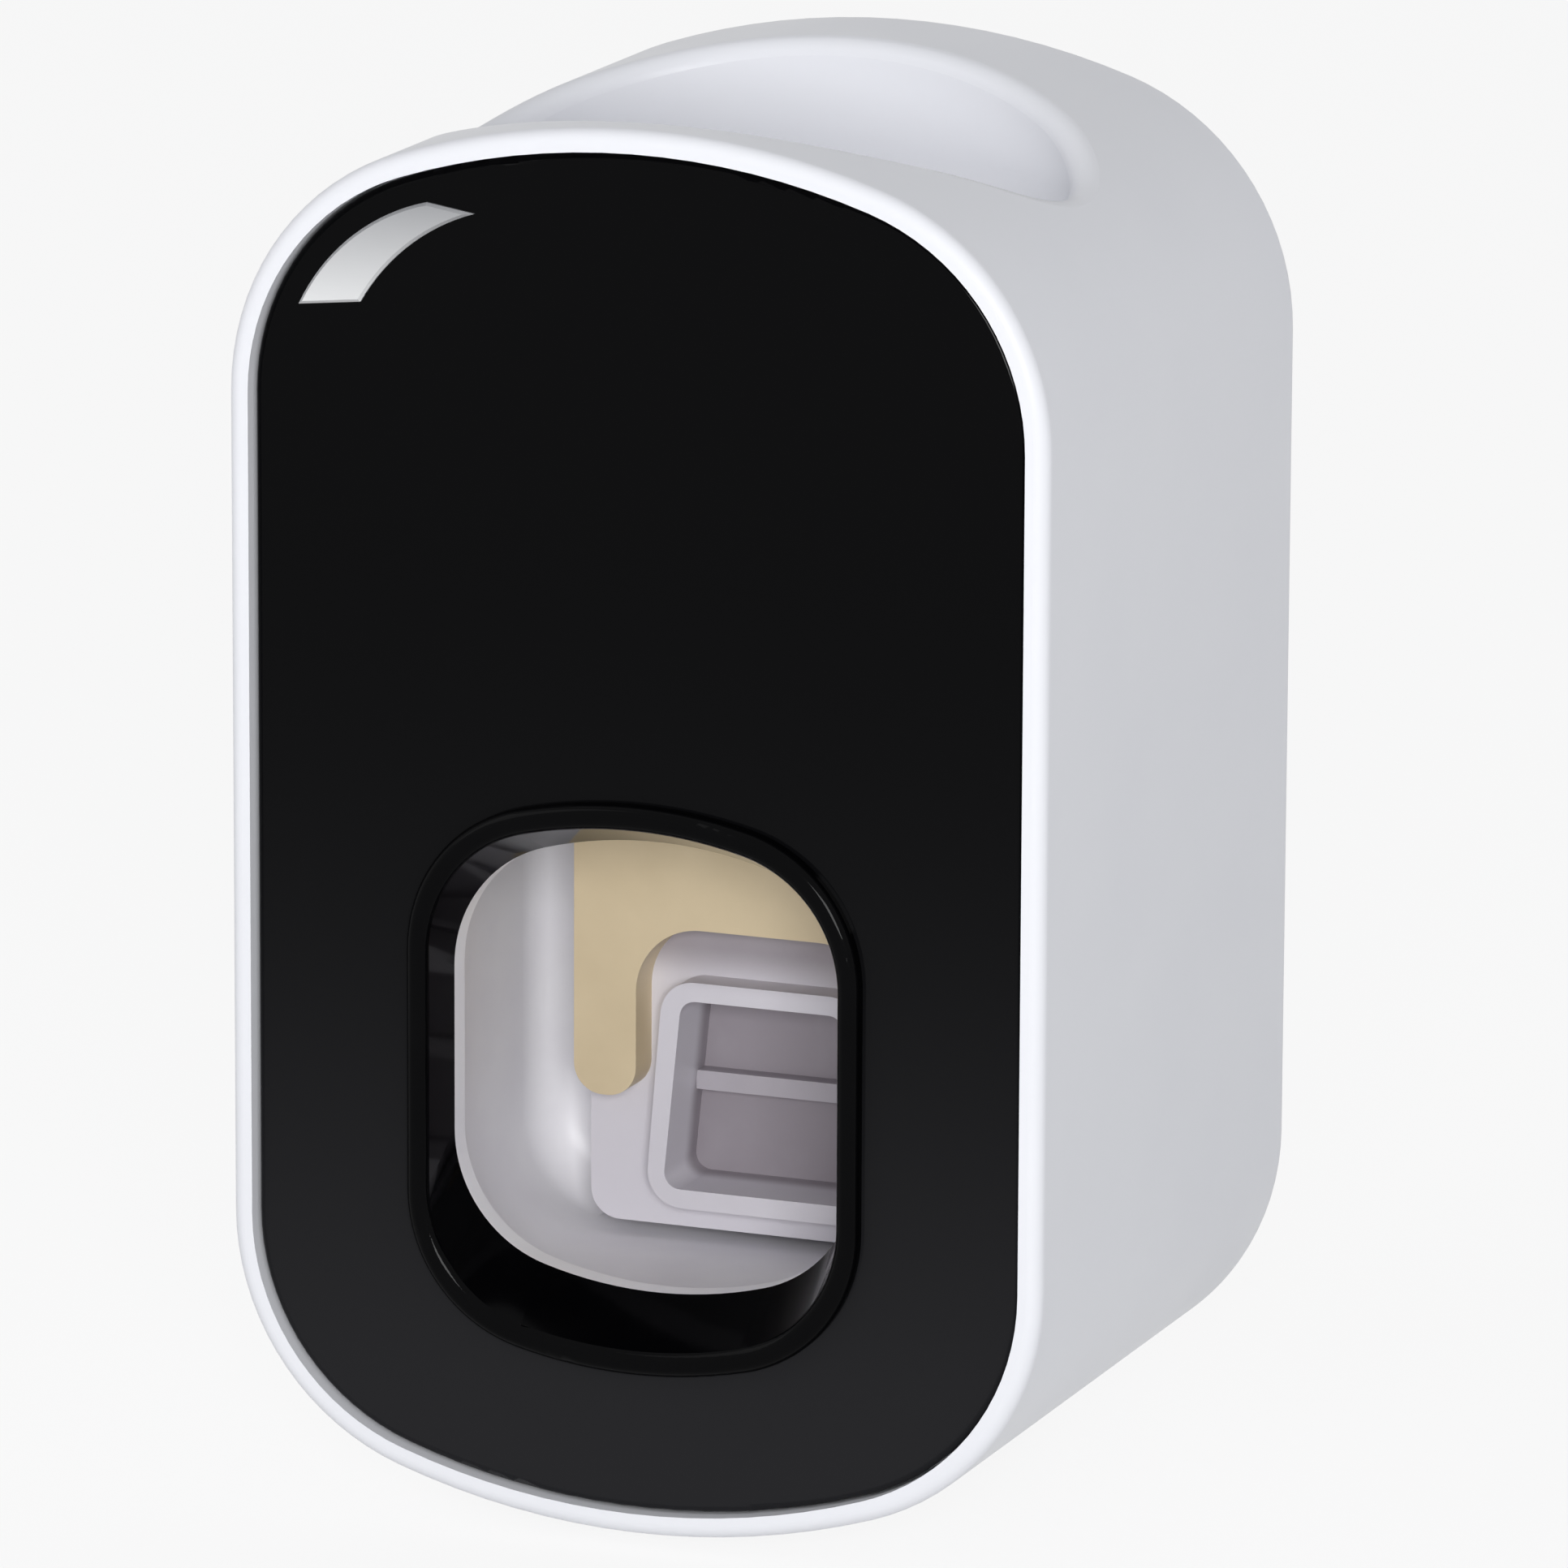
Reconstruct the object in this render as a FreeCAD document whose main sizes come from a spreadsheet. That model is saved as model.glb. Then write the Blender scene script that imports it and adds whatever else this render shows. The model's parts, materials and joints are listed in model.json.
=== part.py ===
"""Wall-hung toothpaste dispenser as separate pieces, sizes in millimetres.

+Z is up, the front faces -Y and the wall is the plane y = 0. The origin is the
middle of the adhesive pad's wall face. "Depth" is measured backwards from the
casing's front rim; heights are measured from the casing's middle.
"""
import FreeCAD
import Part
import math
import os
import re
import Sketcher

V = FreeCAD.Vector

# Driving sizes
SIZES = {
    # casing
    "casing_width": 61.0,
    "casing_height": 100.0,
    "casing_depth": 50.5,
    "corner_radius": 18.5,
    "crown_radius": 56.0,
    "casing_wall": 2.0,
    "front_wall": 1.8,
    "rim_width": 1.6,
    "rim_round": 1.0,
    "rear_round": 0.6,
    "wall_gap": 1.0,
    "fit_gap": 0.2,
    "ledge_depth": 1.5,
    "ledge_width": 2.0,
    "overlap": 0.2,
    "overshoot": 1.0,
    # tube dish
    "dish_side_margin": 7.9,
    "dish_front_margin": 4.5,
    "dish_cover_gap": 0.3,
    "dish_depth": 12.0,
    "dish_wall": 1.5,
    "dish_lip": 1.3,
    "dish_floor": 1.8,
    "dish_floor_round": 4.0,
    # panel, tape and badge
    "panel_recess": 0.8,
    "panel_thickness": 1.6,
    "panel_gap": 0.15,
    "panel_round": 0.6,
    "tape_thickness": 0.2,
    "tape_margin": 3.0,
    "badge_inset": 2.0,
    "badge_height": 0.4,
    "badge_broad_end": 3.7,
    "badge_slim_end": 1.0,
    "badge_bow": 0.3,
    "badge_top_angle": 104.0,
    "badge_low_angle": 154.0,
    "badge_broad_angle": 141.0,
    "badge_slim_angle": 90.0,
    # window
    "bezel_top": 2.6,
    "bezel_low_margin": 11.7,
    "bezel_width": 34.0,
    "bezel_corner": 11.0,
    "bezel_crown": 36.0,
    "bezel_rise": 1.2,
    "bezel_crest": 1.6,
    "bezel_round": 0.7,
    "bezel_flange": 1.0,
    "mouth_width": 30.4,
    "mouth_top_margin": 3.5,
    "mouth_low_margin": 4.9,
    "mouth_corner": 9.5,
    "mouth_crown": 30.0,
    # brush chamber
    "chamber_width": 42.0,
    "chamber_ceiling": 0.0,
    "chamber_sill": 2.6,
    "chamber_rear_room": 9.0,
    "rear_headroom": 3.7,
    "chamber_corner": 7.0,
    "chamber_back_round": 4.0,
    "chamber_wall": 1.5,
    "mouth_plate": 1.8,
    "chamber_boss": 4.0,
    "ear_thickness": 2.0,
    "ear_half": 2.6,
    "ear_inset": 2.0,
    # trigger
    "pivot_inset": 3.5,
    "pivot_rise": 3.2,
    "pin_radius": 1.25,
    "pin_fit": 0.02,
    "swing_fit": 0.05,
    "lug_thickness": 3.0,
    "lug_half": 4.0,
    "yoke_width": 28.6,
    "yoke_thickness": 3.0,
    "leg_width": 4.8,
    "leg_lift": 8.0,
    "leg_round": 2.2,
    "arch_top": -12.2,
    "arch_round": 5.0,
    "yoke_shoulder": -1.5,
    "boss_radius": 3.0,
    "arm_thickness": 2.9,
    "side_gap": 0.7,
    "bar_thickness": 2.4,
    "bar_height": 6.0,
    "nose_radius": 2.9,
    "nose_length": 2.2,
    "nose_round": 1.5,
    "bumper_radius": 2.5,
    "bumper_inset": 4.0,
    "bumper_thickness": 1.0,
    "rest_gap": 0.3,
    # brush cup
    "plate_thickness": 1.4,
    "plate_top": -11.0,
    "plate_skirt": 2.0,
    "cup_top": -16.2,
    "cup_clear": 3.0,
    "cup_top_width": 15.2,
    "cup_low_width": 18.0,
    "cup_reach": 2.5,
    "cup_depth": 7.5,
    "cup_wall": 1.4,
    "cup_round": 2.6,
    # return spring
    "wire_radius": 0.35,
    "coil_radius": 2.0,
    "coil_pitch": 1.15,
    "coil_start": 2.8,
    "coil_turns": 3.0,
    "fixed_leg": 5.8,
    "cavity_side_wall": 4.8,
    "moving_leg": 11.0,
    # pump
    "pump_width": 24.0,
    "pump_lead": 8.6,
    "pump_wall": 1.0,
    "pump_low": 7.5,
    "pump_hang": 6.2,
    "pump_plate": 2.0,
    "pump_plate_width": 37.0,
    "pump_plate_half": 10.0,
    "pump_screw_edge": 3.0,
    "pump_screw_spread": 7.0,
    "cavity_roof": 1.5,
    "cavity_sill": 2.8,
    "cavity_depth": 11.0,
    "inlet_radius": 3.2,
    "seat_radius": 5.4,
    "seat_depth": 3.8,
    "nozzle_gap": 0.8,
    "spigot_radius": 3.0,
    "spigot_length": 4.5,
    "outlet_radius": 2.2,
    "nozzle_radius": 4.2,
    "nozzle_tip": -2.5,
    "nozzle_wall": 1.3,
    "slit_half": 0.12,
    "dome_overlap": 0.4,
    "dome_flange": 1.9,
    "dome_rim": 1.2,
    "dome_wall": 1.4,
    "retainer_screw_gap": 2.6,
    "retainer_edge": 1.7,
    "retainer_lip": 2.0,
    # tube socket
    "socket_flange": 12.5,
    "socket_flange_height": 1.5,
    "socket_radius": 10.0,
    "sleeve_radius": 7.8,
    "neck_radius": 6.0,
    "socket_edge": 0.7,
    "socket_bore": 2.8,
    "sleeve_lift": 1.5,
    "sleeve_lead": 0.8,
    "ring_wire": 0.68,
    "ring_rise": 1.2,
    "ring_gap": 0.04,
    "valve_flange": 1.2,
    "valve_neck": 1.6,
    "valve_wall": 0.9,
    "valve_length": 3.4,
    # back cover and wall bracket
    "cover_recess": 6.0,
    "cover_thickness": 2.0,
    "rail_wall": 2.0,
    "rail_lip": 3.0,
    "rail_gap": 0.3,
    "bracket_head_width": 37.4,
    "bracket_head": 2.2,
    "bracket_height": 50.0,
    "pad_thickness": 1.0,
    "bracket_round": 2.0,
    # screws and their posts
    "post_radius": 3.0,
    "post_bite": 0.3,
    "upper_post_rise": 20.0,
    "lower_post_angle": 40.5,
    "thread_gap": 0.05,
    "hanger_radius": 2.3,
    "boss_outer": 2.2,
    "small_screw": 0.9,
    "large_screw": 1.2,
    "cover_pilot": 9.0,
    "cover_screw_bite": 8.0,
    "retainer_pilot": 5.0,
    "retainer_screw_bite": 4.5,
    "pilot_end": 0.8,
    "screw_end_gap": 0.4,
    "notch_height": 8.0,
}

# Sizes that follow from the driving ones, as formulas; depths are behind the front rim
DERIVED = {
    # casing and cover
    "front_reach": "wall_gap + casing_depth",
    "panel_back": "panel_recess + panel_thickness",
    "wall_front": "panel_back + tape_thickness",
    "wall_back": "wall_front + front_wall",
    "cover_back": "casing_depth - cover_recess",
    "cover_front": "cover_back - cover_thickness",
    "corner_across": "casing_width / 2 - corner_radius",
    "corner_drop": "sqrt((crown_radius - corner_radius)^2 - corner_across^2)",
    "corner_up": "casing_height / 2 - crown_radius + corner_drop",
    # tube dish
    "dish_far": "cover_front - dish_cover_gap - dish_wall",
    "dish_half_length": "(dish_far - dish_front_margin) / 2",
    "dish_half_width": "casing_width / 2 - dish_side_margin",
    "dish_setback": "(dish_far + dish_front_margin) / 2",
    "dish_bottom": "casing_height / 2 - dish_depth",
    "dish_under": "dish_bottom - dish_floor",
    # window and chamber
    "bezel_low": "bezel_low_margin - casing_height / 2",
    "bezel_half_height": "(bezel_top - bezel_low) / 2",
    "bezel_middle": "(bezel_top + bezel_low) / 2",
    "mouth_top": "bezel_top - mouth_top_margin",
    "mouth_low": "bezel_low + mouth_low_margin",
    "mouth_half_height": "(mouth_top - mouth_low) / 2",
    "mouth_middle": "(mouth_top + mouth_low) / 2",
    "chamber_floor": "mouth_low - chamber_sill",
    "chamber_back": "pivot_setback + chamber_rear_room",
    "tub_front": "wall_back + mouth_plate",
    "ear_back": "wall_back + chamber_boss + ear_thickness",
    "upper_ear_across": "chamber_width / 2 - ear_inset",
    "upper_ear_up": "chamber_ceiling + chamber_wall + ear_half",
    "lower_ear_across": "chamber_width / 4",
    "lower_ear_up": "chamber_floor - chamber_wall - ear_half",
    # pump
    "pump_top": "dish_under - pump_hang",
    "pump_front": "dish_setback - pump_lead",
    "pump_back": "dish_setback + seat_radius + pump_wall",
    "pump_screw_across": "pump_plate_width / 2 - pump_screw_edge",
    "seat_floor": "pump_top - seat_depth",
    "cavity_room": "seat_floor - cavity_roof - cavity_sill - pump_low",
    "cavity_radius": "min(cavity_room / 2; pump_width / 2 - cavity_side_wall)",
    "cavity_rise": "pump_low + cavity_sill + cavity_radius",
    "nozzle_setback": "yoke_front - nozzle_gap - nozzle_radius",
    "dome_radius": "cavity_radius + dome_overlap",
    "dome_rim_radius": "dome_radius + dome_flange",
    "dome_top": "pump_back + dome_rim",
    "dome_rise": "bar_front - rest_gap - nose_length - dome_top",
    "dome_crown": "min(0.7 * dome_rise; 0.6 * dome_radius)",
    "dome_hollow": "dome_crown * (dome_radius - dome_wall) / dome_radius",
    "dome_tip": "dome_top + dome_rise",
    "retainer_back": "dome_top + retainer_lip",
    "retainer_screw": "(dome_rim_radius + retainer_screw_gap) * sqrt(0.5)",
    "retainer_half": "retainer_screw + retainer_edge",
    # trigger and cup
    "pivot_setback": "pump_back - pivot_inset",
    "yoke_front": "pivot_setback - yoke_thickness / 2",
    "yoke_back": "pivot_setback + yoke_thickness / 2",
    "leg_inner": "yoke_width / 2 - leg_width",
    "leg_middle": "yoke_width / 2 - leg_width / 2",
    "arm_inner": "pump_width / 2 + side_gap",
    "arm_outer": "arm_inner + arm_thickness",
    "lug_inner": "arm_outer + side_gap",
    "lug_outer": "lug_inner + lug_thickness",
    "bar_back": "cover_front - bumper_thickness - rest_gap",
    "bar_front": "bar_back - bar_thickness",
    "cup_low": "chamber_floor + cup_clear",
    "plate_low": "cup_low - plate_skirt",
    "leg_tip": "cup_low + leg_lift",
    "cup_screw_rise": "(leg_tip + plate_top) / 2",
    # tube socket
    "socket_top": "dish_bottom + socket_flange_height",
    "plug_radius": "seat_radius - fit_gap",
    "plug_low": "seat_floor + valve_flange",
    "ring_middle": "plug_low + ring_rise",
    "sleeve_low": "pump_top + sleeve_lift",
    # screw posts
    "post_reach": "corner_radius - casing_wall - post_radius + post_bite",
    "upper_post_across": "casing_width / 2 - casing_wall - post_radius + post_bite",
    "lower_post_across": "corner_across + post_reach * cos(lower_post_angle * 1 deg)",
    "lower_post_up": "-corner_up - post_reach * sin(lower_post_angle * 1 deg)",
}

os.makedirs("parts", exist_ok=True)
doc = FreeCAD.newDocument("toothpaste_dispenser")
sheet = doc.addObject("Spreadsheet::Sheet", "Sizes")
for row, (alias, number) in enumerate(SIZES.items(), start=1):
    sheet.set(f"A{row}", alias)
    sheet.set(f"B{row}", str(number))
    sheet.setAlias(f"B{row}", alias)
doc.recompute()


def bind(text):
    """Turn the size names in a formula into references to the sheet."""

    def refer(word):
        name = word[0]
        if name in DERIVED:
            return "(" + bind(DERIVED[name]) + ")"
        return f"{sheet.Name}.{name}" if name in SIZES else name

    return re.sub(r"[a-z_]+", refer, text)


def value(text):
    """Work out a formula from the sheet."""
    return float(sheet.evalExpression(bind(text)))


# Places of the screws, as formulas: across and up, or across and depth
COVER_PLACES = [
    (f"{side} * {across}", up)
    for side in ("1", "-1")
    for across, up in (("upper_post_across", "upper_post_rise"), ("lower_post_across", "lower_post_up"))
]
EAR_PLACES = [
    (f"{side} * {across}", up)
    for side in ("1", "-1")
    for across, up in (("upper_ear_across", "upper_ear_up"), ("lower_ear_across", "lower_ear_up"))
]
PUMP_PLACES = [
    (f"{side} * pump_screw_across", f"dish_setback + {way} * pump_screw_spread")
    for side in ("1", "-1")
    for way in ("1", "-1")
]
RETAINER_PLACES = [
    (f"{side} * retainer_screw", f"cavity_rise + {way} * retainer_screw")
    for side in ("1", "-1")
    for way in ("1", "-1")
]
CUP_PLACES = [(f"{side} * leg_middle", "cup_screw_rise") for side in ("1", "-1")]


def at_depth(depth):
    """Y of a depth behind the front rim."""
    return f"(({depth}) - front_reach)"


# Sketch geometry
def hold(sketch, kind, places, text):
    """Add one dimension that follows the sheet."""
    index = sketch.addConstraint(Sketcher.Constraint(kind, *places, value(text)))
    sketch.setExpression(f"Constraints[{index}]", bind(text))


def hold_point(sketch, item, end, across, up):
    hold(sketch, "DistanceX", (-1, 1, item, end), across)
    hold(sketch, "DistanceY", (-1, 1, item, end), up)


def polygon(sketch, corners):
    """Closed chain of lines with every corner held by the sheet."""
    points = [V(value(across), value(up), 0) for across, up in corners]
    first = sketch.GeometryCount
    count = len(points)
    for index in range(count):
        sketch.addGeometry(Part.LineSegment(points[index], points[(index + 1) % count]))
    for index in range(count):
        following = first + (index + 1) % count
        sketch.addConstraint(Sketcher.Constraint("Coincident", first + index, 2, following, 1))
    for index, (across, up) in enumerate(corners):
        hold_point(sketch, first + index, 1, across, up)


def chain(sketch, corners, bends):
    """Closed chain of lines; an edge with a bend point becomes an arc through it."""
    points = [V(value(across), value(up), 0) for across, up in corners]
    count = len(points)
    for index in range(count):
        start, end = points[index], points[(index + 1) % count]
        if index in bends:
            across, up = bends[index]
            sketch.addGeometry(Part.Arc(start, V(value(across), value(up), 0), end))
        else:
            sketch.addGeometry(Part.LineSegment(start, end))

    def vertex(index, point):
        return 1 if sketch.getPoint(index, 1).isEqual(point, 1e-6) else 2

    for index in range(count):
        following = (index + 1) % count
        shared = points[following]
        ends = (index, vertex(index, shared), following, vertex(following, shared))
        sketch.addConstraint(Sketcher.Constraint("Coincident", *ends))
        hold_point(sketch, following, vertex(following, shared), *corners[following])
    for index, (across, up) in bends.items():
        mark = sketch.addGeometry(Part.Point(V(value(across), value(up), 0)), True)
        hold_point(sketch, mark, 1, across, up)
        sketch.addConstraint(Sketcher.Constraint("PointOnObject", mark, 1, index))


def rectangle(sketch, left, right, low, high):
    polygon(sketch, [(left, low), (right, low), (right, high), (left, high)])


def circle(sketch, across, up, radius):
    item = sketch.addGeometry(Part.Circle(V(value(across), value(up), 0), V(0, 0, 1), value(radius)))
    hold_point(sketch, item, 3, across, up)
    hold(sketch, "Radius", (item,), radius)


def rounded(sketch, half_width, low, high, corner):
    """Rectangle about the upright axis with round corners."""
    wide, base, top, small = value(half_width), value(low), value(high), value(corner)
    inner = wide - small
    first = sketch.GeometryCount
    pieces = [
        Part.LineSegment(V(inner, top, 0), V(-inner, top, 0)),
        arc(V(-inner, top - small, 0), small, 90, 180),
        Part.LineSegment(V(-wide, top - small, 0), V(-wide, base + small, 0)),
        arc(V(-inner, base + small, 0), small, 180, 270),
        Part.LineSegment(V(-inner, base, 0), V(inner, base, 0)),
        arc(V(inner, base + small, 0), small, 270, 360),
        Part.LineSegment(V(wide, base + small, 0), V(wide, top - small, 0)),
        arc(V(inner, top - small, 0), small, 0, 90),
    ]
    for piece in pieces:
        sketch.addGeometry(piece)
    for index in range(8):
        following = first + (index + 1) % 8
        sketch.addConstraint(Sketcher.Constraint("Tangent", first + index, 2, following, 1))
    for middle, across, up in (
        (first + 1, f"-({half_width}) + ({corner})", f"({high}) - ({corner})"),
        (first + 5, f"({half_width}) - ({corner})", f"({low}) + ({corner})"),
    ):
        hold_point(sketch, middle, 3, across, up)
    hold(sketch, "Radius", (first + 1,), corner)
    sketch.addConstraint(Sketcher.Constraint("Equal", first + 1, first + 5))
    sketch.addConstraint(Sketcher.Constraint("Vertical", first + 2))
    sketch.addConstraint(Sketcher.Constraint("Horizontal", first))


def ellipse(sketch, across, up, half_x, half_y):
    """Ellipse along the sketch axes, held by the lengths of its two axes, the longer one first."""
    middle = V(value(across), value(up), 0)
    right = middle + V(value(half_x), 0, 0)
    top = middle + V(0, value(half_y), 0)
    spans = sorted((half_x, half_y), key=value, reverse=True)
    ends = (right, top) if spans[0] == half_x else (top, right)
    item = sketch.addGeometry(Part.Ellipse(*ends, middle))
    sketch.exposeInternalGeometry(item)
    hold_point(sketch, item, 3, across, up)
    axes = (item + 1, item + 2)
    for axis, half in zip(axes, spans):
        hold(sketch, "Distance", (axis,), f"2 * ({half})")
    level = "Horizontal" if spans[0] == half_x else "Vertical"
    sketch.addConstraint(Sketcher.Constraint(level, axes[0]))


def arc(middle, radius, start, end):
    turn = Part.Circle(middle, V(0, 0, 1), radius)
    return Part.ArcOfCircle(turn, math.radians(start), math.radians(end))


def crowned(sketch, half_width, half_height, corner, crown, middle):
    """Upright outline with straight sides, round corners and bowed top and bottom."""
    wide, tall, mid = value(half_width), value(half_height), value(middle)
    small, large = value(corner), value(crown)
    inner = wide - small
    lift = math.sqrt((large - small) ** 2 - inner**2)
    tilt = math.degrees(math.asin(inner / (large - small)))
    top_middle = V(0, mid + tall - large, 0)
    low_middle = V(0, mid - tall + large, 0)
    high = top_middle.y + lift
    low = low_middle.y - lift
    first = sketch.GeometryCount
    pieces = [
        arc(top_middle, large, 90 - tilt, 90 + tilt),
        arc(V(-inner, high, 0), small, 90 + tilt, 180),
        Part.LineSegment(V(-wide, high, 0), V(-wide, low, 0)),
        arc(V(-inner, low, 0), small, 180, 270 - tilt),
        arc(low_middle, large, 270 - tilt, 270 + tilt),
        arc(V(inner, low, 0), small, 270 + tilt, 360),
        Part.LineSegment(V(wide, low, 0), V(wide, high, 0)),
        arc(V(inner, high, 0), small, 0, 90 - tilt),
    ]
    for piece in pieces:
        sketch.addGeometry(piece)
    top, left_high, left, left_low, bottom, right_low, right, right_high = range(first, first + 8)
    for index in range(8):
        following = first + (index + 1) % 8
        sketch.addConstraint(Sketcher.Constraint("Tangent", first + index, 2, following, 1))
    for other in (left_low, right_low, right_high):
        sketch.addConstraint(Sketcher.Constraint("Equal", left_high, other))
    sketch.addConstraint(Sketcher.Constraint("Equal", top, bottom))
    hold(sketch, "Radius", (left_high,), corner)
    hold(sketch, "Radius", (top,), crown)
    hold_point(sketch, top, 3, "0", f"({middle}) + ({half_height}) - ({crown})")
    hold_point(sketch, bottom, 3, "0", f"({middle}) - ({half_height}) + ({crown})")
    hold(sketch, "DistanceX", (-1, 1, left, 1), f"-({half_width})")
    hold(sketch, "DistanceX", (-1, 1, right, 1), half_width)


def casing_outline(sketch, inset):
    crowned(
        sketch,
        f"casing_width / 2 - ({inset})",
        f"casing_height / 2 - ({inset})",
        f"corner_radius - ({inset})",
        f"crown_radius - ({inset})",
        "0",
    )


def bezel_outline(sketch, inset):
    crowned(
        sketch,
        f"bezel_width / 2 - ({inset})",
        f"bezel_half_height - ({inset})",
        f"bezel_corner - ({inset})",
        f"bezel_crown - ({inset})",
        "bezel_middle",
    )


def mouth_outline(sketch):
    crowned(sketch, "mouth_width / 2", "mouth_half_height", "mouth_corner", "mouth_crown", "mouth_middle")


class Piece:
    """One named piece, built up feature by feature."""

    def __init__(self, label):
        self.body = doc.addObject("PartDesign::Body", label)
        self.body.Label = label

    def sketch(self, role, offset, raised="0"):
        made = self.body.newObject("Sketcher::SketchObject", "Sketch")
        base = next(item for item in self.body.Origin.OriginFeatures if item.Role == role)
        made.AttachmentSupport = [(base, "")]
        made.MapMode = "FlatFace"
        made.setExpression("AttachmentOffset.Base.z", bind(offset))
        made.setExpression("AttachmentOffset.Base.y", bind(raised))
        return made

    def facing(self, depth):
        """Sketch plane parallel to the front; its normal points forwards."""
        return self.sketch("XZ_Plane", f"front_reach - ({depth})")

    def level(self, height):
        """Horizontal sketch plane; its normal points up."""
        return self.sketch("XY_Plane", height)

    def side(self, across, raised="0"):
        """Upright sketch plane along the depth; its normal points to +X."""
        return self.sketch("YZ_Plane", across, raised)

    def feature(self, kind, profile):
        made = self.body.newObject("PartDesign::" + kind, kind)
        made.Profile = profile
        return made

    def settle(self, made, grows):
        before = made.BaseFeature.Shape.Volume if made.BaseFeature else 0.0
        doc.recompute()
        after = made.Shape.Volume
        if not made.isValid() or (after > before) != grows or abs(after - before) < 1e-6:
            raise RuntimeError(f"{self.body.Label}: {made.Name} changed nothing or failed")

    def add(self, profile, length, along=True, both=False):
        made = self.feature("Pad", profile)
        made.setExpression("Length", bind(length))
        made.Reversed = not along
        made.SideType = "Symmetric" if both else "One side"
        self.settle(made, True)

    def cut(self, profile, length, along=False, both=False):
        made = self.feature("Pocket", profile)
        made.setExpression("Length", bind(length))
        made.Reversed = along
        made.SideType = "Symmetric" if both else "One side"
        self.settle(made, False)

    def turn(self, profile, axis):
        made = self.feature("Revolution", profile)
        made.ReferenceAxis = (profile, [axis])
        made.Angle = 360
        self.settle(made, True)

    def loft_cut(self, profile, end):
        made = self.feature("SubtractiveLoft", profile)
        made.Sections = [end]
        self.settle(made, False)

    def round(self, radius, chosen, kind="Fillet"):
        """Round or chamfer the edges that the test picks."""
        base = self.body.Tip
        names = [f"Edge{number}" for number, edge in enumerate(base.Shape.Edges, start=1) if chosen(edge)]
        made = self.body.newObject("PartDesign::" + kind, kind)
        made.Base = (base, names)
        made.setExpression("Radius" if kind == "Fillet" else "Size", bind(radius))
        doc.recompute()
        if not names or not made.isValid() or abs(made.Shape.Volume - base.Shape.Volume) < 1e-9:
            raise RuntimeError(f"{self.body.Label}: {made.Name} of {len(names)} edges failed")


def near(first, second, slack=1e-4):
    return abs(first - second) < slack


def in_plane(edge, axis, place):
    """True for an edge that lies in the plane axis = place."""
    box = edge.BoundBox
    return near(getattr(box, axis + "Min"), place, 1e-3) and near(getattr(box, axis + "Max"), place, 1e-3)


def runs_along(edge, axis):
    """True for a straight edge along one axis."""
    box = edge.BoundBox
    others = [name for name in "XYZ" if name != axis]
    return all(getattr(box, name + "Length") < 1e-3 for name in others)


# Casing and front
def outer_casing():
    piece = Piece("outer_casing")
    outline = piece.facing("0")
    casing_outline(outline, "0")
    piece.add(outline, "casing_depth", along=False)
    front, rear = value(at_depth("0")), value(at_depth("casing_depth"))
    piece.round("rim_round", lambda edge: in_plane(edge, "Y", front))
    piece.round("rear_round", lambda edge: in_plane(edge, "Y", rear))
    hollow = piece.facing("casing_depth")
    casing_outline(hollow, "casing_wall")
    piece.cut(hollow, "casing_depth - wall_back - ledge_depth", along=True)
    recess = piece.facing("0")
    casing_outline(recess, "rim_width")
    piece.cut(recess, "wall_back")
    passage = piece.facing("wall_back")
    casing_outline(passage, "casing_wall + ledge_width")
    piece.cut(passage, "ledge_depth")
    dish_shell(piece)
    casing_posts(piece)
    notch = piece.facing("casing_depth")
    half = "(bracket_head_width / 2 + rail_gap + rail_wall)"
    low = "-casing_height / 2"
    rectangle(notch, f"-{half}", half, f"{low} - overshoot", f"{low} + notch_height")
    piece.cut(notch, "cover_recess", along=True)


def dish_shell(piece):
    """Bowl in the casing's top: a raised block trimmed to the outline, then hollowed."""
    middle = at_depth("dish_setback")
    block = piece.level("dish_under")
    ellipse(block, "0", middle, "dish_half_width + dish_wall", "dish_half_length + dish_wall")
    piece.add(block, "dish_depth + dish_floor + overshoot")
    trim = piece.facing("0")
    casing_outline(trim, "0")
    rectangle(trim, "-casing_width", "casing_width", "-casing_height", "casing_height")
    piece.cut(trim, "casing_depth")
    bowl = piece.level("casing_height / 2 + overshoot")
    ellipse(bowl, "0", middle, "dish_half_width", "dish_half_length")
    piece.cut(bowl, "dish_depth + overshoot")
    floor = value("dish_bottom")
    piece.round("dish_floor_round", lambda edge: in_plane(edge, "Z", floor))
    half_x, half_y, mid_y = value("dish_half_width"), value("dish_half_length"), value(middle)

    def on_lip(edge):
        spot = edge.valueAt((edge.FirstParameter + edge.LastParameter) / 2)
        reach = (spot.x / half_x) ** 2 + ((spot.y - mid_y) / half_y) ** 2
        return near(reach, 1.0, 1e-3) and edge.BoundBox.ZMin > floor + value("dish_floor_round + overlap")

    piece.round("dish_lip", on_lip)
    hole = piece.level("dish_bottom")
    circle(hole, "0", middle, "socket_radius + fit_gap")
    piece.cut(hole, "dish_floor")


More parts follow.
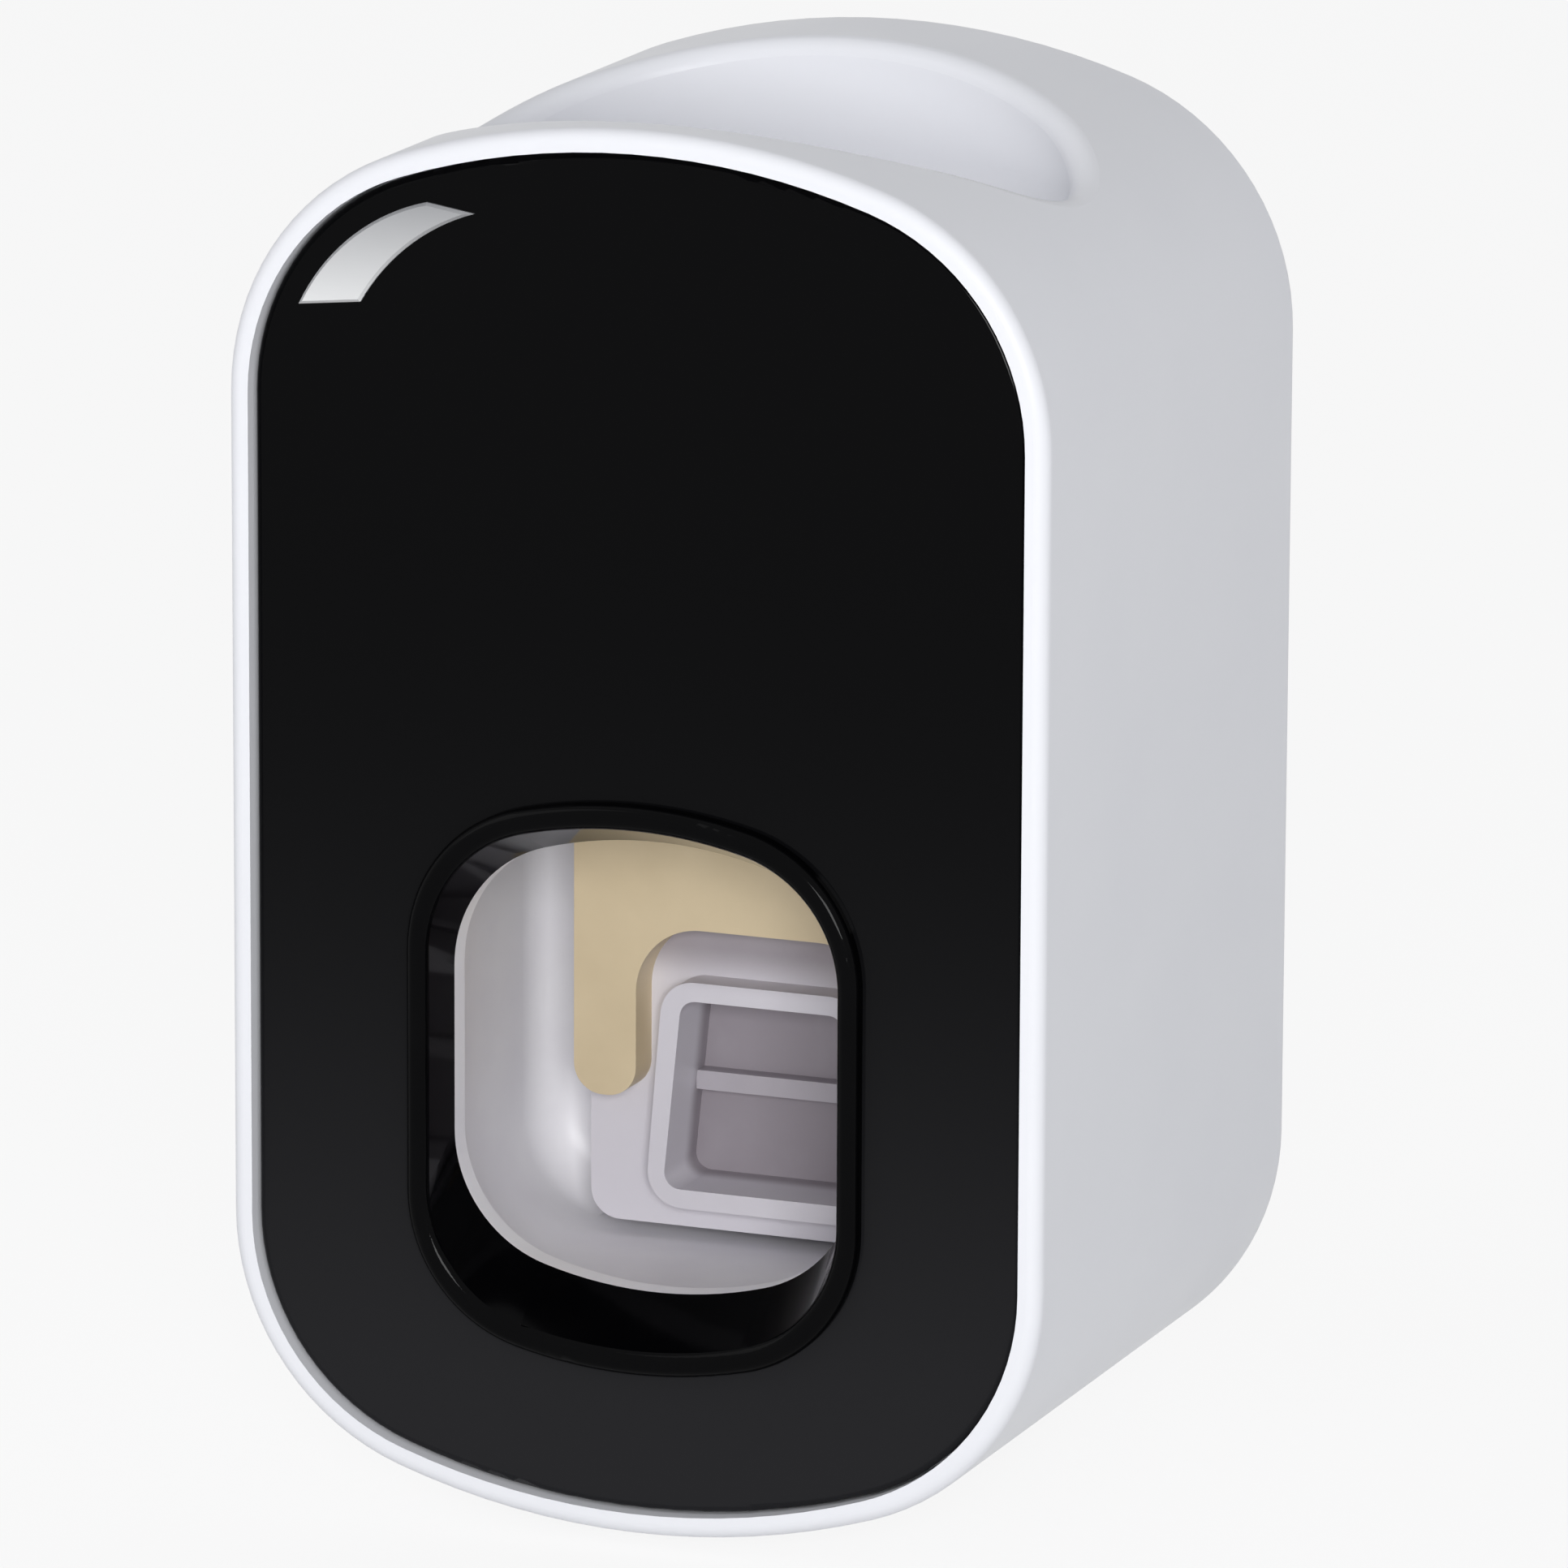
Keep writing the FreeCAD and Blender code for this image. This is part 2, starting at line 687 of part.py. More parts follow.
def casing_posts(piece):
    """Screw posts for the cover and the pump, each with its pilot hole."""
    posts = piece.facing("wall_back")
    for across, up in COVER_PLACES:
        circle(posts, across, up, "post_radius")
    piece.add(posts, "cover_front - wall_back", along=False)
    hangers = piece.level("dish_under + overlap")
    for across, depth in PUMP_PLACES:
        circle(hangers, across, at_depth(depth), "hanger_radius")
    piece.add(hangers, "pump_hang + overlap", along=False)
    pilots = piece.facing("cover_front")
    for across, up in COVER_PLACES:
        circle(pilots, across, up, "large_screw + thread_gap")
    piece.cut(pilots, "cover_pilot", along=True)
    pump_pilots = piece.level("pump_top")
    for across, depth in PUMP_PLACES:
        circle(pump_pilots, across, at_depth(depth), "small_screw + thread_gap")
    piece.cut(pump_pilots, "pump_hang - pilot_end", along=True)


def panel_carrier():
    """Plate on the casing's ledge: the panel is taped to its face, the chamber screwed to its back."""
    piece = Piece("panel_carrier")
    plate = piece.facing("wall_front")
    casing_outline(plate, "rim_width + panel_gap")
    bezel_outline(plate, "bezel_flange - fit_gap")
    piece.add(plate, "front_wall", along=False)
    relief = piece.level("dish_under - fit_gap")
    around = "dish_wall + fit_gap"
    middle = at_depth("dish_setback")
    ellipse(relief, "0", middle, f"dish_half_width + {around}", f"dish_half_length + {around}")
    piece.cut(relief, "dish_depth + dish_floor + overshoot", along=True)
    bosses = piece.facing("wall_back - overlap")
    for across, up in EAR_PLACES:
        circle(bosses, across, up, "boss_outer")
    piece.add(bosses, "chamber_boss + overlap", along=False)
    pilots = piece.facing("wall_back + chamber_boss")
    for across, up in EAR_PLACES:
        circle(pilots, across, up, "small_screw + thread_gap")
    piece.cut(pilots, "chamber_boss", along=True)


def front_panel():
    piece = Piece("front_panel")
    outline = piece.facing("panel_recess")
    casing_outline(outline, "rim_width + panel_gap")
    piece.add(outline, "panel_thickness", along=False)
    face = value(at_depth("panel_recess"))
    piece.round("panel_round", lambda edge: in_plane(edge, "Y", face))
    window = piece.facing("panel_recess")
    bezel_outline(window, "bezel_flange - fit_gap")
    piece.cut(window, "panel_thickness")


def panel_tape():
    piece = Piece("panel_tape")
    outline = piece.facing("panel_back")
    casing_outline(outline, "rim_width + panel_gap + tape_margin")
    bezel_outline(outline, "bezel_flange - tape_margin / 2")
    piece.add(outline, "tape_thickness", along=False)


def window_bezel():
    piece = Piece("window_bezel")
    flange = piece.facing("panel_recess")
    bezel_outline(flange, "0")
    piece.add(flange, "bezel_rise")
    neck = piece.facing("panel_recess")
    bezel_outline(neck, "bezel_flange")
    piece.add(neck, "wall_back - panel_recess", along=False)
    wide_end = piece.facing("panel_recess - bezel_rise")
    bezel_outline(wide_end, "bezel_crest")
    slim_end = piece.facing("wall_back")
    mouth_outline(slim_end)
    piece.loft_cut(wide_end, slim_end)
    crest = value(at_depth("panel_recess - bezel_rise"))
    piece.round("bezel_round", lambda edge: in_plane(edge, "Y", crest))


def accent_badge():
    """Tapering arc that follows the panel's upper left corner."""
    piece = Piece("accent_badge")
    shape = piece.facing("panel_recess")
    outer = "(corner_radius - rim_width - panel_gap - badge_inset)"
    broad = f"({outer} - badge_broad_end)"
    slim = f"({outer} - badge_slim_end)"

    def spot(radius, angle):
        across = f"-corner_across + {radius} * cos(({angle}) * 1 deg)"
        return across, f"corner_up + {radius} * sin(({angle}) * 1 deg)"

    corners = [
        spot(outer, "badge_top_angle"),
        spot(outer, "badge_low_angle"),
        spot(broad, "badge_broad_angle"),
        spot(slim, "badge_slim_angle"),
    ]
    bends = {
        0: spot(outer, "(badge_top_angle + badge_low_angle) / 2"),
        2: spot(f"(({broad} + {slim}) / 2 - badge_bow)", "(badge_broad_angle + badge_slim_angle) / 2"),
    }
    chain(shape, corners, bends)
    piece.add(shape, "badge_height")
    face = value(at_depth("panel_recess - badge_height"))
    piece.round("badge_height / 2", lambda edge: in_plane(edge, "Y", face), "Chamfer")


# Brush chamber and trigger
def chamber_outline(sketch, wall):
    rounded(
        sketch,
        f"chamber_width / 2 + {wall}",
        f"chamber_floor - {wall}",
        f"chamber_ceiling + {wall}",
        f"chamber_corner + {wall}",
    )


def mouth_plate():
    """Plate with the brush mouth, held between the panel carrier and the chamber."""
    piece = Piece("mouth_plate")
    plate = piece.facing("wall_back")
    chamber_outline(plate, "chamber_wall")
    mouth_outline(plate)
    piece.add(plate, "mouth_plate", along=False)


def brush_chamber():
    """Tub behind the mouth plate, with ears for its screws and lugs for the pivot pin."""
    piece = Piece("brush_chamber")
    shell = piece.facing("tub_front")
    chamber_outline(shell, "chamber_wall")
    piece.add(shell, "chamber_back + chamber_wall - tub_front", along=False)
    hollow = piece.facing("tub_front")
    chamber_outline(hollow, "0")
    piece.cut(hollow, "chamber_back - tub_front")
    back = value(at_depth("chamber_back"))
    piece.round("chamber_back_round", lambda edge: in_plane(edge, "Y", back))
    chamber_openings(piece)
    chamber_lugs(piece)
    ears = piece.facing("wall_back + chamber_boss")
    for across, up in EAR_PLACES:
        inward = "1" if up == "lower_ear_up" else "-1"
        root = f"{up} + {inward} * (ear_half + chamber_wall)"
        low, high = sorted((root, f"{up} - {inward} * ear_half"), key=value)
        rectangle(ears, f"{across} - ear_half", f"{across} + ear_half", low, high)
    piece.add(ears, "ear_thickness", along=False)
    holes = piece.facing("wall_back + chamber_boss")
    for across, up in EAR_PLACES:
        circle(holes, across, up, "small_screw + fit_gap")
    piece.cut(holes, "ear_thickness")


def chamber_openings(piece):
    """Ways out of the chamber: behind the cup, and above for the yoke and the nozzle."""
    rear = piece.facing("chamber_back - chamber_back_round")
    half = "(yoke_width / 2 + side_gap)"
    rectangle(rear, f"-{half}", half, "chamber_floor", "cup_top + rear_headroom")
    piece.cut(rear, "chamber_back_round + chamber_wall")
    above = piece.level("chamber_ceiling + chamber_wall")
    slot = "(arm_outer + side_gap / 2)"
    front = at_depth("nozzle_setback - nozzle_radius - nozzle_gap")
    rectangle(above, f"-{slot}", slot, front, at_depth("chamber_back"))
    piece.cut(above, "chamber_wall + overlap")


def chamber_lugs(piece):
    """Pair of lugs that carry the pivot pin."""
    for side in (1, -1):
        lug = piece.side(f"{side} * lug_inner")
        middle = at_depth("pivot_setback")
        rectangle(
            lug,
            f"{middle} - lug_half",
            f"{middle} + lug_half",
            "chamber_ceiling + chamber_wall / 2",
            "pivot_rise + lug_half",
        )
        piece.add(lug, "lug_thickness", along=side > 0)
    top = value("pivot_rise + lug_half")
    piece.round("lug_half / 2", lambda edge: runs_along(edge, "X") and near(edge.BoundBox.ZMin, top))
    bore = piece.side("0")
    circle(bore, at_depth("pivot_setback"), "pivot_rise", "pin_radius + pin_fit")
    piece.cut(bore, "2 * (lug_outer + overshoot)", both=True)


def trigger_yoke():
    piece = Piece("trigger_yoke")
    half = "(yoke_width / 2)"
    plate = piece.facing("yoke_front")
    rectangle(plate, f"-{half}", half, "leg_tip", "pivot_rise")
    piece.add(plate, "yoke_thickness", along=False)
    arch = piece.facing("yoke_front")
    rectangle(arch, "-leg_inner", "leg_inner", "leg_tip - overshoot", "arch_top")
    piece.cut(arch, "yoke_thickness")
    notch = piece.facing("yoke_front")
    rectangle(notch, "-leg_inner", "leg_inner", "yoke_shoulder", "pivot_rise + overshoot")
    piece.cut(notch, "yoke_thickness")
    tip, crown = value("leg_tip"), value("arch_top")
    piece.round("leg_round", lambda edge: runs_along(edge, "Y") and near(edge.BoundBox.ZMin, tip))
    arch_round = "min(arch_round; 0.45 * (arch_top - leg_tip))"
    piece.round(arch_round, lambda edge: runs_along(edge, "Y") and near(edge.BoundBox.ZMin, crown))
    for side in (1, -1):
        boss = piece.side(f"{side} * leg_inner")
        circle(boss, at_depth("pivot_setback"), "pivot_rise", "boss_radius")
        piece.add(boss, "arm_outer - leg_inner", along=side > 0)
    yoke_arms(piece)
    bore = piece.side("0")
    circle(bore, at_depth("pivot_setback"), "pivot_rise", "pin_radius + swing_fit")
    piece.cut(bore, "2 * (arm_outer + overshoot)", both=True)
    pilots = piece.facing("yoke_back")
    for across, up in CUP_PLACES:
        circle(pilots, across, up, "small_screw + thread_gap")
    piece.cut(pilots, "yoke_thickness - pilot_end", along=True)


def yoke_arms(piece):
    """Two arms that rise behind the pump, joined by the bar with its pressing nose."""
    low, high = "(cavity_rise - bar_height / 2)", "(cavity_rise + bar_height / 2)"
    for side in (1, -1):
        arm = piece.side(f"{side} * arm_inner")
        polygon(
            arm,
            [
                (at_depth("pivot_setback - 0.75 * boss_radius"), "pivot_rise"),
                (at_depth("pivot_setback + 0.75 * boss_radius"), "pivot_rise - 0.6 * boss_radius"),
                (at_depth("bar_back"), low),
                (at_depth("bar_back"), high),
                (at_depth("bar_front"), high),
            ],
        )
        piece.add(arm, "arm_thickness", along=side > 0)
    bar = piece.side("0")
    rectangle(bar, at_depth("bar_front"), at_depth("bar_back"), low, high)
    piece.add(bar, "2 * arm_outer", both=True)
    nose = piece.facing("bar_front")
    circle(nose, "0", "cavity_rise", "nose_radius")
    piece.add(nose, "nose_length")
    face = value(at_depth("dome_tip + rest_gap"))
    piece.round("nose_round", lambda edge: in_plane(edge, "Y", face))


def brush_cup():
    piece = Piece("brush_cup")
    half = "(yoke_width / 2 - fit_gap / 2)"
    plate = piece.facing("yoke_back")
    rectangle(plate, f"-{half}", half, "plate_low", "plate_top")
    piece.add(plate, "plate_thickness", along=False)
    piece.round("leg_round", lambda edge: runs_along(edge, "Y"))
    shell = piece.facing("yoke_back - cup_reach")
    cup_outline(shell, "0")
    piece.add(shell, "cup_depth", along=False)
    front = value(at_depth("yoke_back - cup_reach"))
    rear = value(at_depth("yoke_back - cup_reach + cup_depth"))

    def cup_corner(edge):
        ends = (edge.BoundBox.YMin, edge.BoundBox.YMax)
        return runs_along(edge, "Y") and (near(ends[0], front) or near(ends[1], rear))

    piece.round("cup_round", cup_corner)
    hollow = piece.facing("yoke_back - cup_reach")
    cup_outline(hollow, "cup_wall")
    piece.cut(hollow, "cup_depth - cup_wall")
    floor = value(at_depth("yoke_back - cup_reach + cup_depth - cup_wall"))
    piece.round(
        "cup_round - cup_wall",
        lambda edge: runs_along(edge, "Y")
        and near(edge.BoundBox.YMin, front)
        and near(edge.BoundBox.YMax, floor),
    )
    rib = piece.facing("yoke_back - cup_reach + cup_depth - cup_wall")
    middle = "((cup_top + cup_low) / 2)"
    reach = "(cup_top_width / 2 - cup_wall / 2)"
    rectangle(rib, f"-{reach}", reach, f"{middle} - cup_wall / 2", f"{middle} + cup_wall / 2")
    piece.add(rib, "cup_wall")
    holes = piece.facing("yoke_back")
    for across, up in CUP_PLACES:
        circle(holes, across, up, "small_screw + fit_gap")
    piece.cut(holes, "plate_thickness")


def cup_outline(sketch, inset):
    """Upright box of the cup, a little wider at its foot."""
    top, low = f"cup_top_width / 2 - ({inset})", f"cup_low_width / 2 - ({inset})"
    polygon(
        sketch,
        [
            (f"-({low})", f"cup_low + ({inset})"),
            (low, f"cup_low + ({inset})"),
            (top, f"cup_top - ({inset})"),
            (f"-({top})", f"cup_top - ({inset})"),
        ],
    )


def pivot_pin():
    piece = Piece("pivot_pin")
    rod = piece.side("0")
    circle(rod, at_depth("pivot_setback"), "pivot_rise", "pin_radius")
    piece.add(rod, "2 * (lug_outer + overlap)", both=True)
    piece.round("pin_radius / 4", lambda edge: edge.BoundBox.XLength < 1e-3, "Chamfer")


def biarc(start, start_way, end, end_way):
    """Two arcs that leave start and reach end along the given directions."""
    gap = end - start
    ways = start_way + end_way
    square = 2 * (1 - start_way.dot(end_way))
    across = gap.dot(ways)
    reach = (-across + math.sqrt(across**2 + square * gap.dot(gap))) / square
    joint = (start + end + (start_way - end_way) * reach) * 0.5
    made = []
    for first, way, last in ((start, start_way, joint), (end, end_way * -1, joint)):
        chord = last - first
        aside = chord - way * chord.dot(way)
        radius = chord.dot(chord) / (2 * aside.Length)
        middle = first + aside.normalize() * radius
        bow = (first + last) * 0.5 - middle
        made.append((first, middle + bow.normalize() * radius, last))
    made[1] = tuple(reversed(made[1]))
    return [Part.Arc(*points).toShape() for points in made]


def return_spring():
    """Torsion spring round the pin: one leg held in the pump, one behind the yoke."""
    radius, pitch, turns = value("coil_radius"), value("coil_pitch"), value("coil_turns")
    centre = V(value("coil_start"), value(at_depth("pivot_setback")), value("pivot_rise"))
    quarters = 4 * round(turns)

    def spot(step):
        angle = step * math.pi / 2
        place = V(step * pitch / 4, radius * math.cos(angle), -radius * math.sin(angle))
        way = V(pitch / 4, -radius * math.sin(angle) * math.pi / 2, -radius * math.cos(angle) * math.pi / 2)
        if step in (0, quarters):
            way = V(0, 0, -1)
        return centre + place, way.normalize()

    knots = [spot(step) for step in range(quarters + 1)]
    first, last = knots[0][0], knots[-1][0]
    top = first + V(0, 0, value("fixed_leg"))
    path = [Part.makeLine(top, first)]
    for (start, start_way), (end, end_way) in zip(knots, knots[1:]):
        path += biarc(start, start_way, end, end_way)
    path.append(Part.makeLine(last, last - V(0, 0, value("moving_leg"))))
    wire = Part.Wire(path)
    profile = Part.Wire(Part.makeCircle(value("wire_radius"), top, V(0, 0, -1)))
    shell = Part.BRepOffsetAPI.MakePipeShell(wire)
    shell.add(profile)
    shell.build()
    shell.makeSolid()
    made = doc.addObject("Part::Feature", "return_spring")
    made.Label = "return_spring"
    made.Shape = shell.shape()


# Pump and socket
def pump_body():
    piece = Piece("pump_body")
    middle = at_depth("dish_setback")
    block = piece.level("pump_low")
    front, back = at_depth("pump_front"), at_depth("pump_back")
    rectangle(block, "-pump_width / 2", "pump_width / 2", front, back)
    piece.add(block, "pump_top - pump_low")
    plate = piece.level("pump_top - pump_plate")
    for side in ("1", "-1"):
        edges = (f"{side} * (pump_width / 2 - overlap)", f"{side} * pump_plate_width / 2")
        inner, outer = sorted(edges, key=value)
        rectangle(plate, inner, outer, f"{middle} - pump_plate_half", f"{middle} + pump_plate_half")
    piece.add(plate, "pump_plate")
    cavity = piece.facing("pump_back")
    circle(cavity, "0", "cavity_rise", "cavity_radius")
    piece.cut(cavity, "cavity_depth", along=True)
    seat = piece.level("pump_top")
    circle(seat, "0", middle, "seat_radius")
    piece.cut(seat, "seat_depth")
    inlet = piece.level("seat_floor")
    circle(inlet, "0", middle, "inlet_radius")
    piece.cut(inlet, "seat_floor - cavity_rise")
    spigot = piece.level("pump_low + overlap")
    circle(spigot, "0", at_depth("nozzle_setback"), "spigot_radius")
    piece.add(spigot, "spigot_length + overlap", along=False)
    outlet = piece.level("pump_low - spigot_length")
    circle(outlet, "0", at_depth("nozzle_setback"), "outlet_radius")
    piece.cut(outlet, "spigot_length + cavity_rise - pump_low", along=True)
    pocket = piece.level("pump_low")
    circle(pocket, "coil_start", at_depth("pivot_setback + coil_radius"), "wire_radius + fit_gap")
    piece.cut(pocket, "pivot_rise + fixed_leg - pump_low + overshoot", along=True)
    holes = piece.level("pump_top")
    for across, depth in PUMP_PLACES:
        circle(holes, across, at_depth(depth), "small_screw + fit_gap")
    piece.cut(holes, "pump_plate")
    pilots = piece.facing("pump_back")
    for across, up in RETAINER_PLACES:
        circle(pilots, across, up, "small_screw + thread_gap")
    piece.cut(pilots, "retainer_pilot", along=True)


def squeeze_dome():
    """Soft cap with a clamped rim, turned about the pump cavity's axis."""
    piece = Piece("squeeze_dome")
    profile = piece.side("0", "cavity_rise")
    foot, top, tip = at_depth("pump_back"), at_depth("dome_top"), at_depth("dome_tip")
    inner = "(dome_radius - dome_wall)"
    shoulder = f"({tip} - dome_crown)"
    hollow = f"({tip} - dome_wall - dome_hollow)"
    corners = [
        (foot, inner),
        (foot, "dome_rim_radius"),
        (top, "dome_rim_radius"),
        (top, "dome_radius"),
        (shoulder, "dome_radius"),
        (tip, "0"),
        (f"{tip} - dome_wall", "0"),
        (hollow, inner),
    ]

    def cap(base, reach, rise):
        """Point half way along a ball's arc from its foot to its tip on the axis."""
        ball = f"((({reach})^2 + ({rise})^2) / (2 * ({rise})))"
        half = f"(asin(({reach}) / {ball}) / 2)"
        return f"{base} + ({rise}) - {ball} * (1 - cos({half}))", f"{ball} * sin({half})"

    bends = {4: cap(shoulder, "dome_radius", "dome_crown"), 6: cap(hollow, inner, "dome_hollow")}
    chain(profile, corners, bends)
    piece.turn(profile, "H_Axis")


def dome_retainer():
    piece = Piece("dome_retainer")
    frame = piece.facing("pump_back")
    rectangle(
        frame,
        "-retainer_half",
        "retainer_half",
        "cavity_rise - retainer_half",
        "cavity_rise + retainer_half",
    )
    circle(frame, "0", "cavity_rise", "dome_radius + rest_gap")
    piece.add(frame, "dome_rim + retainer_lip", along=False)
    seat = piece.facing("pump_back")
    circle(seat, "0", "cavity_rise", "dome_rim_radius + fit_gap")
    piece.cut(seat, "dome_rim")
    holes = piece.facing("pump_back")
    for across, up in RETAINER_PLACES:
        circle(holes, across, up, "small_screw + fit_gap")
    piece.cut(holes, "dome_rim + retainer_lip")


def turned(label, depth, corners):
    """Piece turned about an upright axis from its half section (radius, height)."""
    piece = Piece(label)
    section = piece.facing(depth)
    polygon(section, corners)
    piece.turn(section, "V_Axis")
    return piece




def tube_socket():
    groove_low, groove_high = "ring_middle - ring_wire - ring_gap", "ring_middle + ring_wire + ring_gap"
    groove = "seat_radius - 2 * (ring_wire + ring_gap)"
    shoulder = "pump_top + fit_gap / 2"
    turned(
        "tube_socket",
        "dish_setback",
        [
            ("socket_flange", "dish_bottom"),
            ("socket_flange", "socket_top - socket_edge"),
            ("socket_flange - socket_edge", "socket_top"),
            ("sleeve_radius", "socket_top"),
            ("sleeve_radius", "sleeve_low"),
            ("socket_bore", "sleeve_low"),
            ("socket_bore", "plug_low"),
            ("plug_radius", "plug_low"),
            ("plug_radius", groove_low),
            (groove, groove_low),
            (groove, groove_high),
            ("plug_radius", groove_high),
            ("plug_radius", shoulder),
            ("socket_radius", shoulder),
            ("socket_radius", "dish_bottom"),
        ],
    )


def socket_seal():
    outer = "(sleeve_radius - thread_gap)"
    turned(
        "socket_seal",
        "dish_setback",
        [
            ("neck_radius", "sleeve_low + fit_gap / 2"),
            (outer, "sleeve_low + fit_gap / 2"),
            (outer, "socket_top - rest_gap"),
            ("neck_radius + sleeve_lead", "socket_top - rest_gap"),
            ("neck_radius", "socket_top - rest_gap - sleeve_lead"),
        ],
    )


def socket_o_ring():
    made = doc.addObject("Part::Torus", "socket_o_ring")
    made.Label = "socket_o_ring"
    made.setExpression("Radius1", bind("seat_radius - ring_wire - ring_gap"))
    made.setExpression("Radius2", bind("ring_wire"))
    made.setExpression("Placement.Base.y", bind(at_depth("dish_setback")))
    made.setExpression("Placement.Base.z", bind("ring_middle"))


def inlet_valve():
    """Flap valve: a flange under the socket and a split bill in the inlet."""
    tube = "(inlet_radius - fit_gap)"
    piece = turned(
        "inlet_valve",
        "dish_setback",
        [
            (f"{tube} - valve_wall", "seat_floor + valve_flange"),
            (f"{tube} - valve_wall", "seat_floor - valve_neck"),
            ("0", "seat_floor - valve_neck - valve_wall"),
            ("0", "seat_floor - valve_length"),
            (tube, "seat_floor - valve_neck"),
            (tube, "seat_floor"),
            ("seat_radius - fit_gap", "seat_floor"),
            ("seat_radius - fit_gap", "seat_floor + valve_flange"),
        ],
    )
    slit = piece.level("seat_floor - valve_length")
    middle = at_depth("dish_setback")
    rectangle(slit, f"-{tube} / 2", f"{tube} / 2", f"{middle} - slit_half", f"{middle} + slit_half")
    piece.cut(slit, "valve_length - valve_neck", along=True)


def outlet_nozzle():
    """Soft nozzle pushed over the pump's spigot, its end slit."""
    sleeve = "(spigot_radius + thread_gap)"
    end = "pump_low - spigot_length - fit_gap"
    piece = turned(
        "outlet_nozzle",
        "nozzle_setback",
        [
            (sleeve, "pump_low - fit_gap"),
            ("nozzle_radius", "pump_low - fit_gap"),
            ("nozzle_radius", "nozzle_tip + nozzle_wall"),
            ("nozzle_radius - nozzle_wall", "nozzle_tip"),
            ("0", "nozzle_tip"),
            ("0", "nozzle_tip + nozzle_wall"),
            ("outlet_radius", "nozzle_tip + 1.5 * nozzle_wall"),
            ("outlet_radius", end),
            (sleeve, end),
        ],
    )
    slit = piece.level("nozzle_tip")
    middle = at_depth("nozzle_setback")
    low, high = f"{middle} - slit_half", f"{middle} + slit_half"
    rectangle(slit, "-0.9 * outlet_radius", "0.9 * outlet_radius", low, high)
    piece.cut(slit, "1.5 * nozzle_wall", along=True)


# Rear
def back_cover():
    piece = Piece("back_cover")
    plate = piece.facing("cover_front")
    casing_outline(plate, "casing_wall + fit_gap")
    for across, up in COVER_PLACES:
        circle(plate, across, up, "large_screw + fit_gap")
    piece.add(plate, "cover_thickness", along=False)
    inner = "(bracket_head_width / 2 + rail_gap)"
    end = "(bracket_height / 2 + rail_wall)"
    lip = f"({inner} - rail_lip)"
    reach = "(rail_gap * 2 + bracket_head + rail_wall)"
    for side in (1, -1):
        low, high = sorted((f"{side} * {inner}", f"{side} * ({inner} + rail_wall)"), key=value)
        rail = piece.facing("cover_back - overlap")
        rectangle(rail, low, high, f"-{end}", end)
        piece.add(rail, f"{reach} + overlap", along=False)
        low, high = sorted((f"{side} * {lip}", f"{side} * ({inner} + overlap)"), key=value)
        edge = piece.facing("cover_back + 2 * rail_gap + bracket_head")
        rectangle(edge, low, high, f"-{end}", end)
        piece.add(edge, "rail_wall", along=False)
    stop = piece.facing("cover_back - overlap")
    rectangle(stop, f"-{inner} - overlap", f"{inner} + overlap", "bracket_height / 2", end)
    piece.add(stop, f"{reach} + overlap", along=False)


def wall_bracket():
    piece = Piece("wall_bracket")
    tall = "(bracket_height / 2)"
    head = piece.facing("cover_back + rail_gap")
    rectangle(head, "-bracket_head_width / 2", "bracket_head_width / 2", f"-{tall}", tall)
    piece.add(head, "bracket_head", along=False)
    piece.round("bracket_round", lambda edge: runs_along(edge, "Y"))
    head_back = "cover_back + rail_gap + bracket_head"
    web = piece.facing(f"{head_back} - overlap")
    half = "(bracket_head_width / 2 - rail_lip)"
    rectangle(web, f"-{half}", half, f"-{tall} + bracket_round", f"{tall} - bracket_round")
    piece.add(web, f"front_reach - pad_thickness - ({head_back}) + overlap", along=False)


def adhesive_pad():
    piece = Piece("adhesive_pad")
    pad = piece.facing("front_reach - pad_thickness")
    half = "(bracket_head_width / 2 - rail_lip - fit_gap)"
    tall = "(bracket_height / 2 - bracket_round - fit_gap)"
    rectangle(pad, f"-{half}", half, f"-{tall}", tall)
    piece.add(pad, "pad_thickness", along=False)
    piece.round("bracket_round", lambda edge: runs_along(edge, "Y"))


def stop_bumpers():
    """Two soft rests on the cover for the ends of the yoke's bar."""
    rests = []
    for side in ("1", "-1"):
        rest = doc.addObject("Part::Cylinder", "rest")
        rest.setExpression("Radius", bind("bumper_radius"))
        rest.setExpression("Height", bind("bumper_thickness"))
        rest.Placement.Rotation = FreeCAD.Rotation(V(1, 0, 0), 90)
        rest.setExpression("Placement.Base.x", bind(f"{side} * (arm_outer - bumper_inset)"))
        rest.setExpression("Placement.Base.y", bind(at_depth("cover_front")))
        rest.setExpression("Placement.Base.z", bind("cavity_rise"))
        rests.append(rest)
    made = doc.addObject("Part::Compound", "stop_bumpers")
    made.Label = "stop_bumpers"
    made.Links = rests


# Screws
def screw(shank, length):
    """Round-headed screw along -Z from its head's underside at the origin, with a cross recess."""
    head_radius, head_height = 1.9 * shank, 1.3 * shank
    head = Part.makeCylinder(head_radius, head_height)
    rim = [edge for edge in head.Edges if in_plane(edge, "Z", head_height)]
    head = head.makeFillet(0.6 * head_height, rim)
    body = Part.makeCylinder(shank, length - shank, V(0, 0, shank - length))
    tip = Part.makeCone(shank, 0.3 * shank, shank, V(0, 0, shank - length), V(0, 0, -1))
    made = head.fuse([body, tip])
    slot = 0.35 * shank
    for long, wide in ((1.1 * shank, slot / 2), (slot / 2, 1.1 * shank)):
        box = Part.makeBox(2 * long, 2 * wide, head_height, V(-long, -wide, 0.45 * head_height))
        made = made.cut(box)
    return made.removeSplitter()


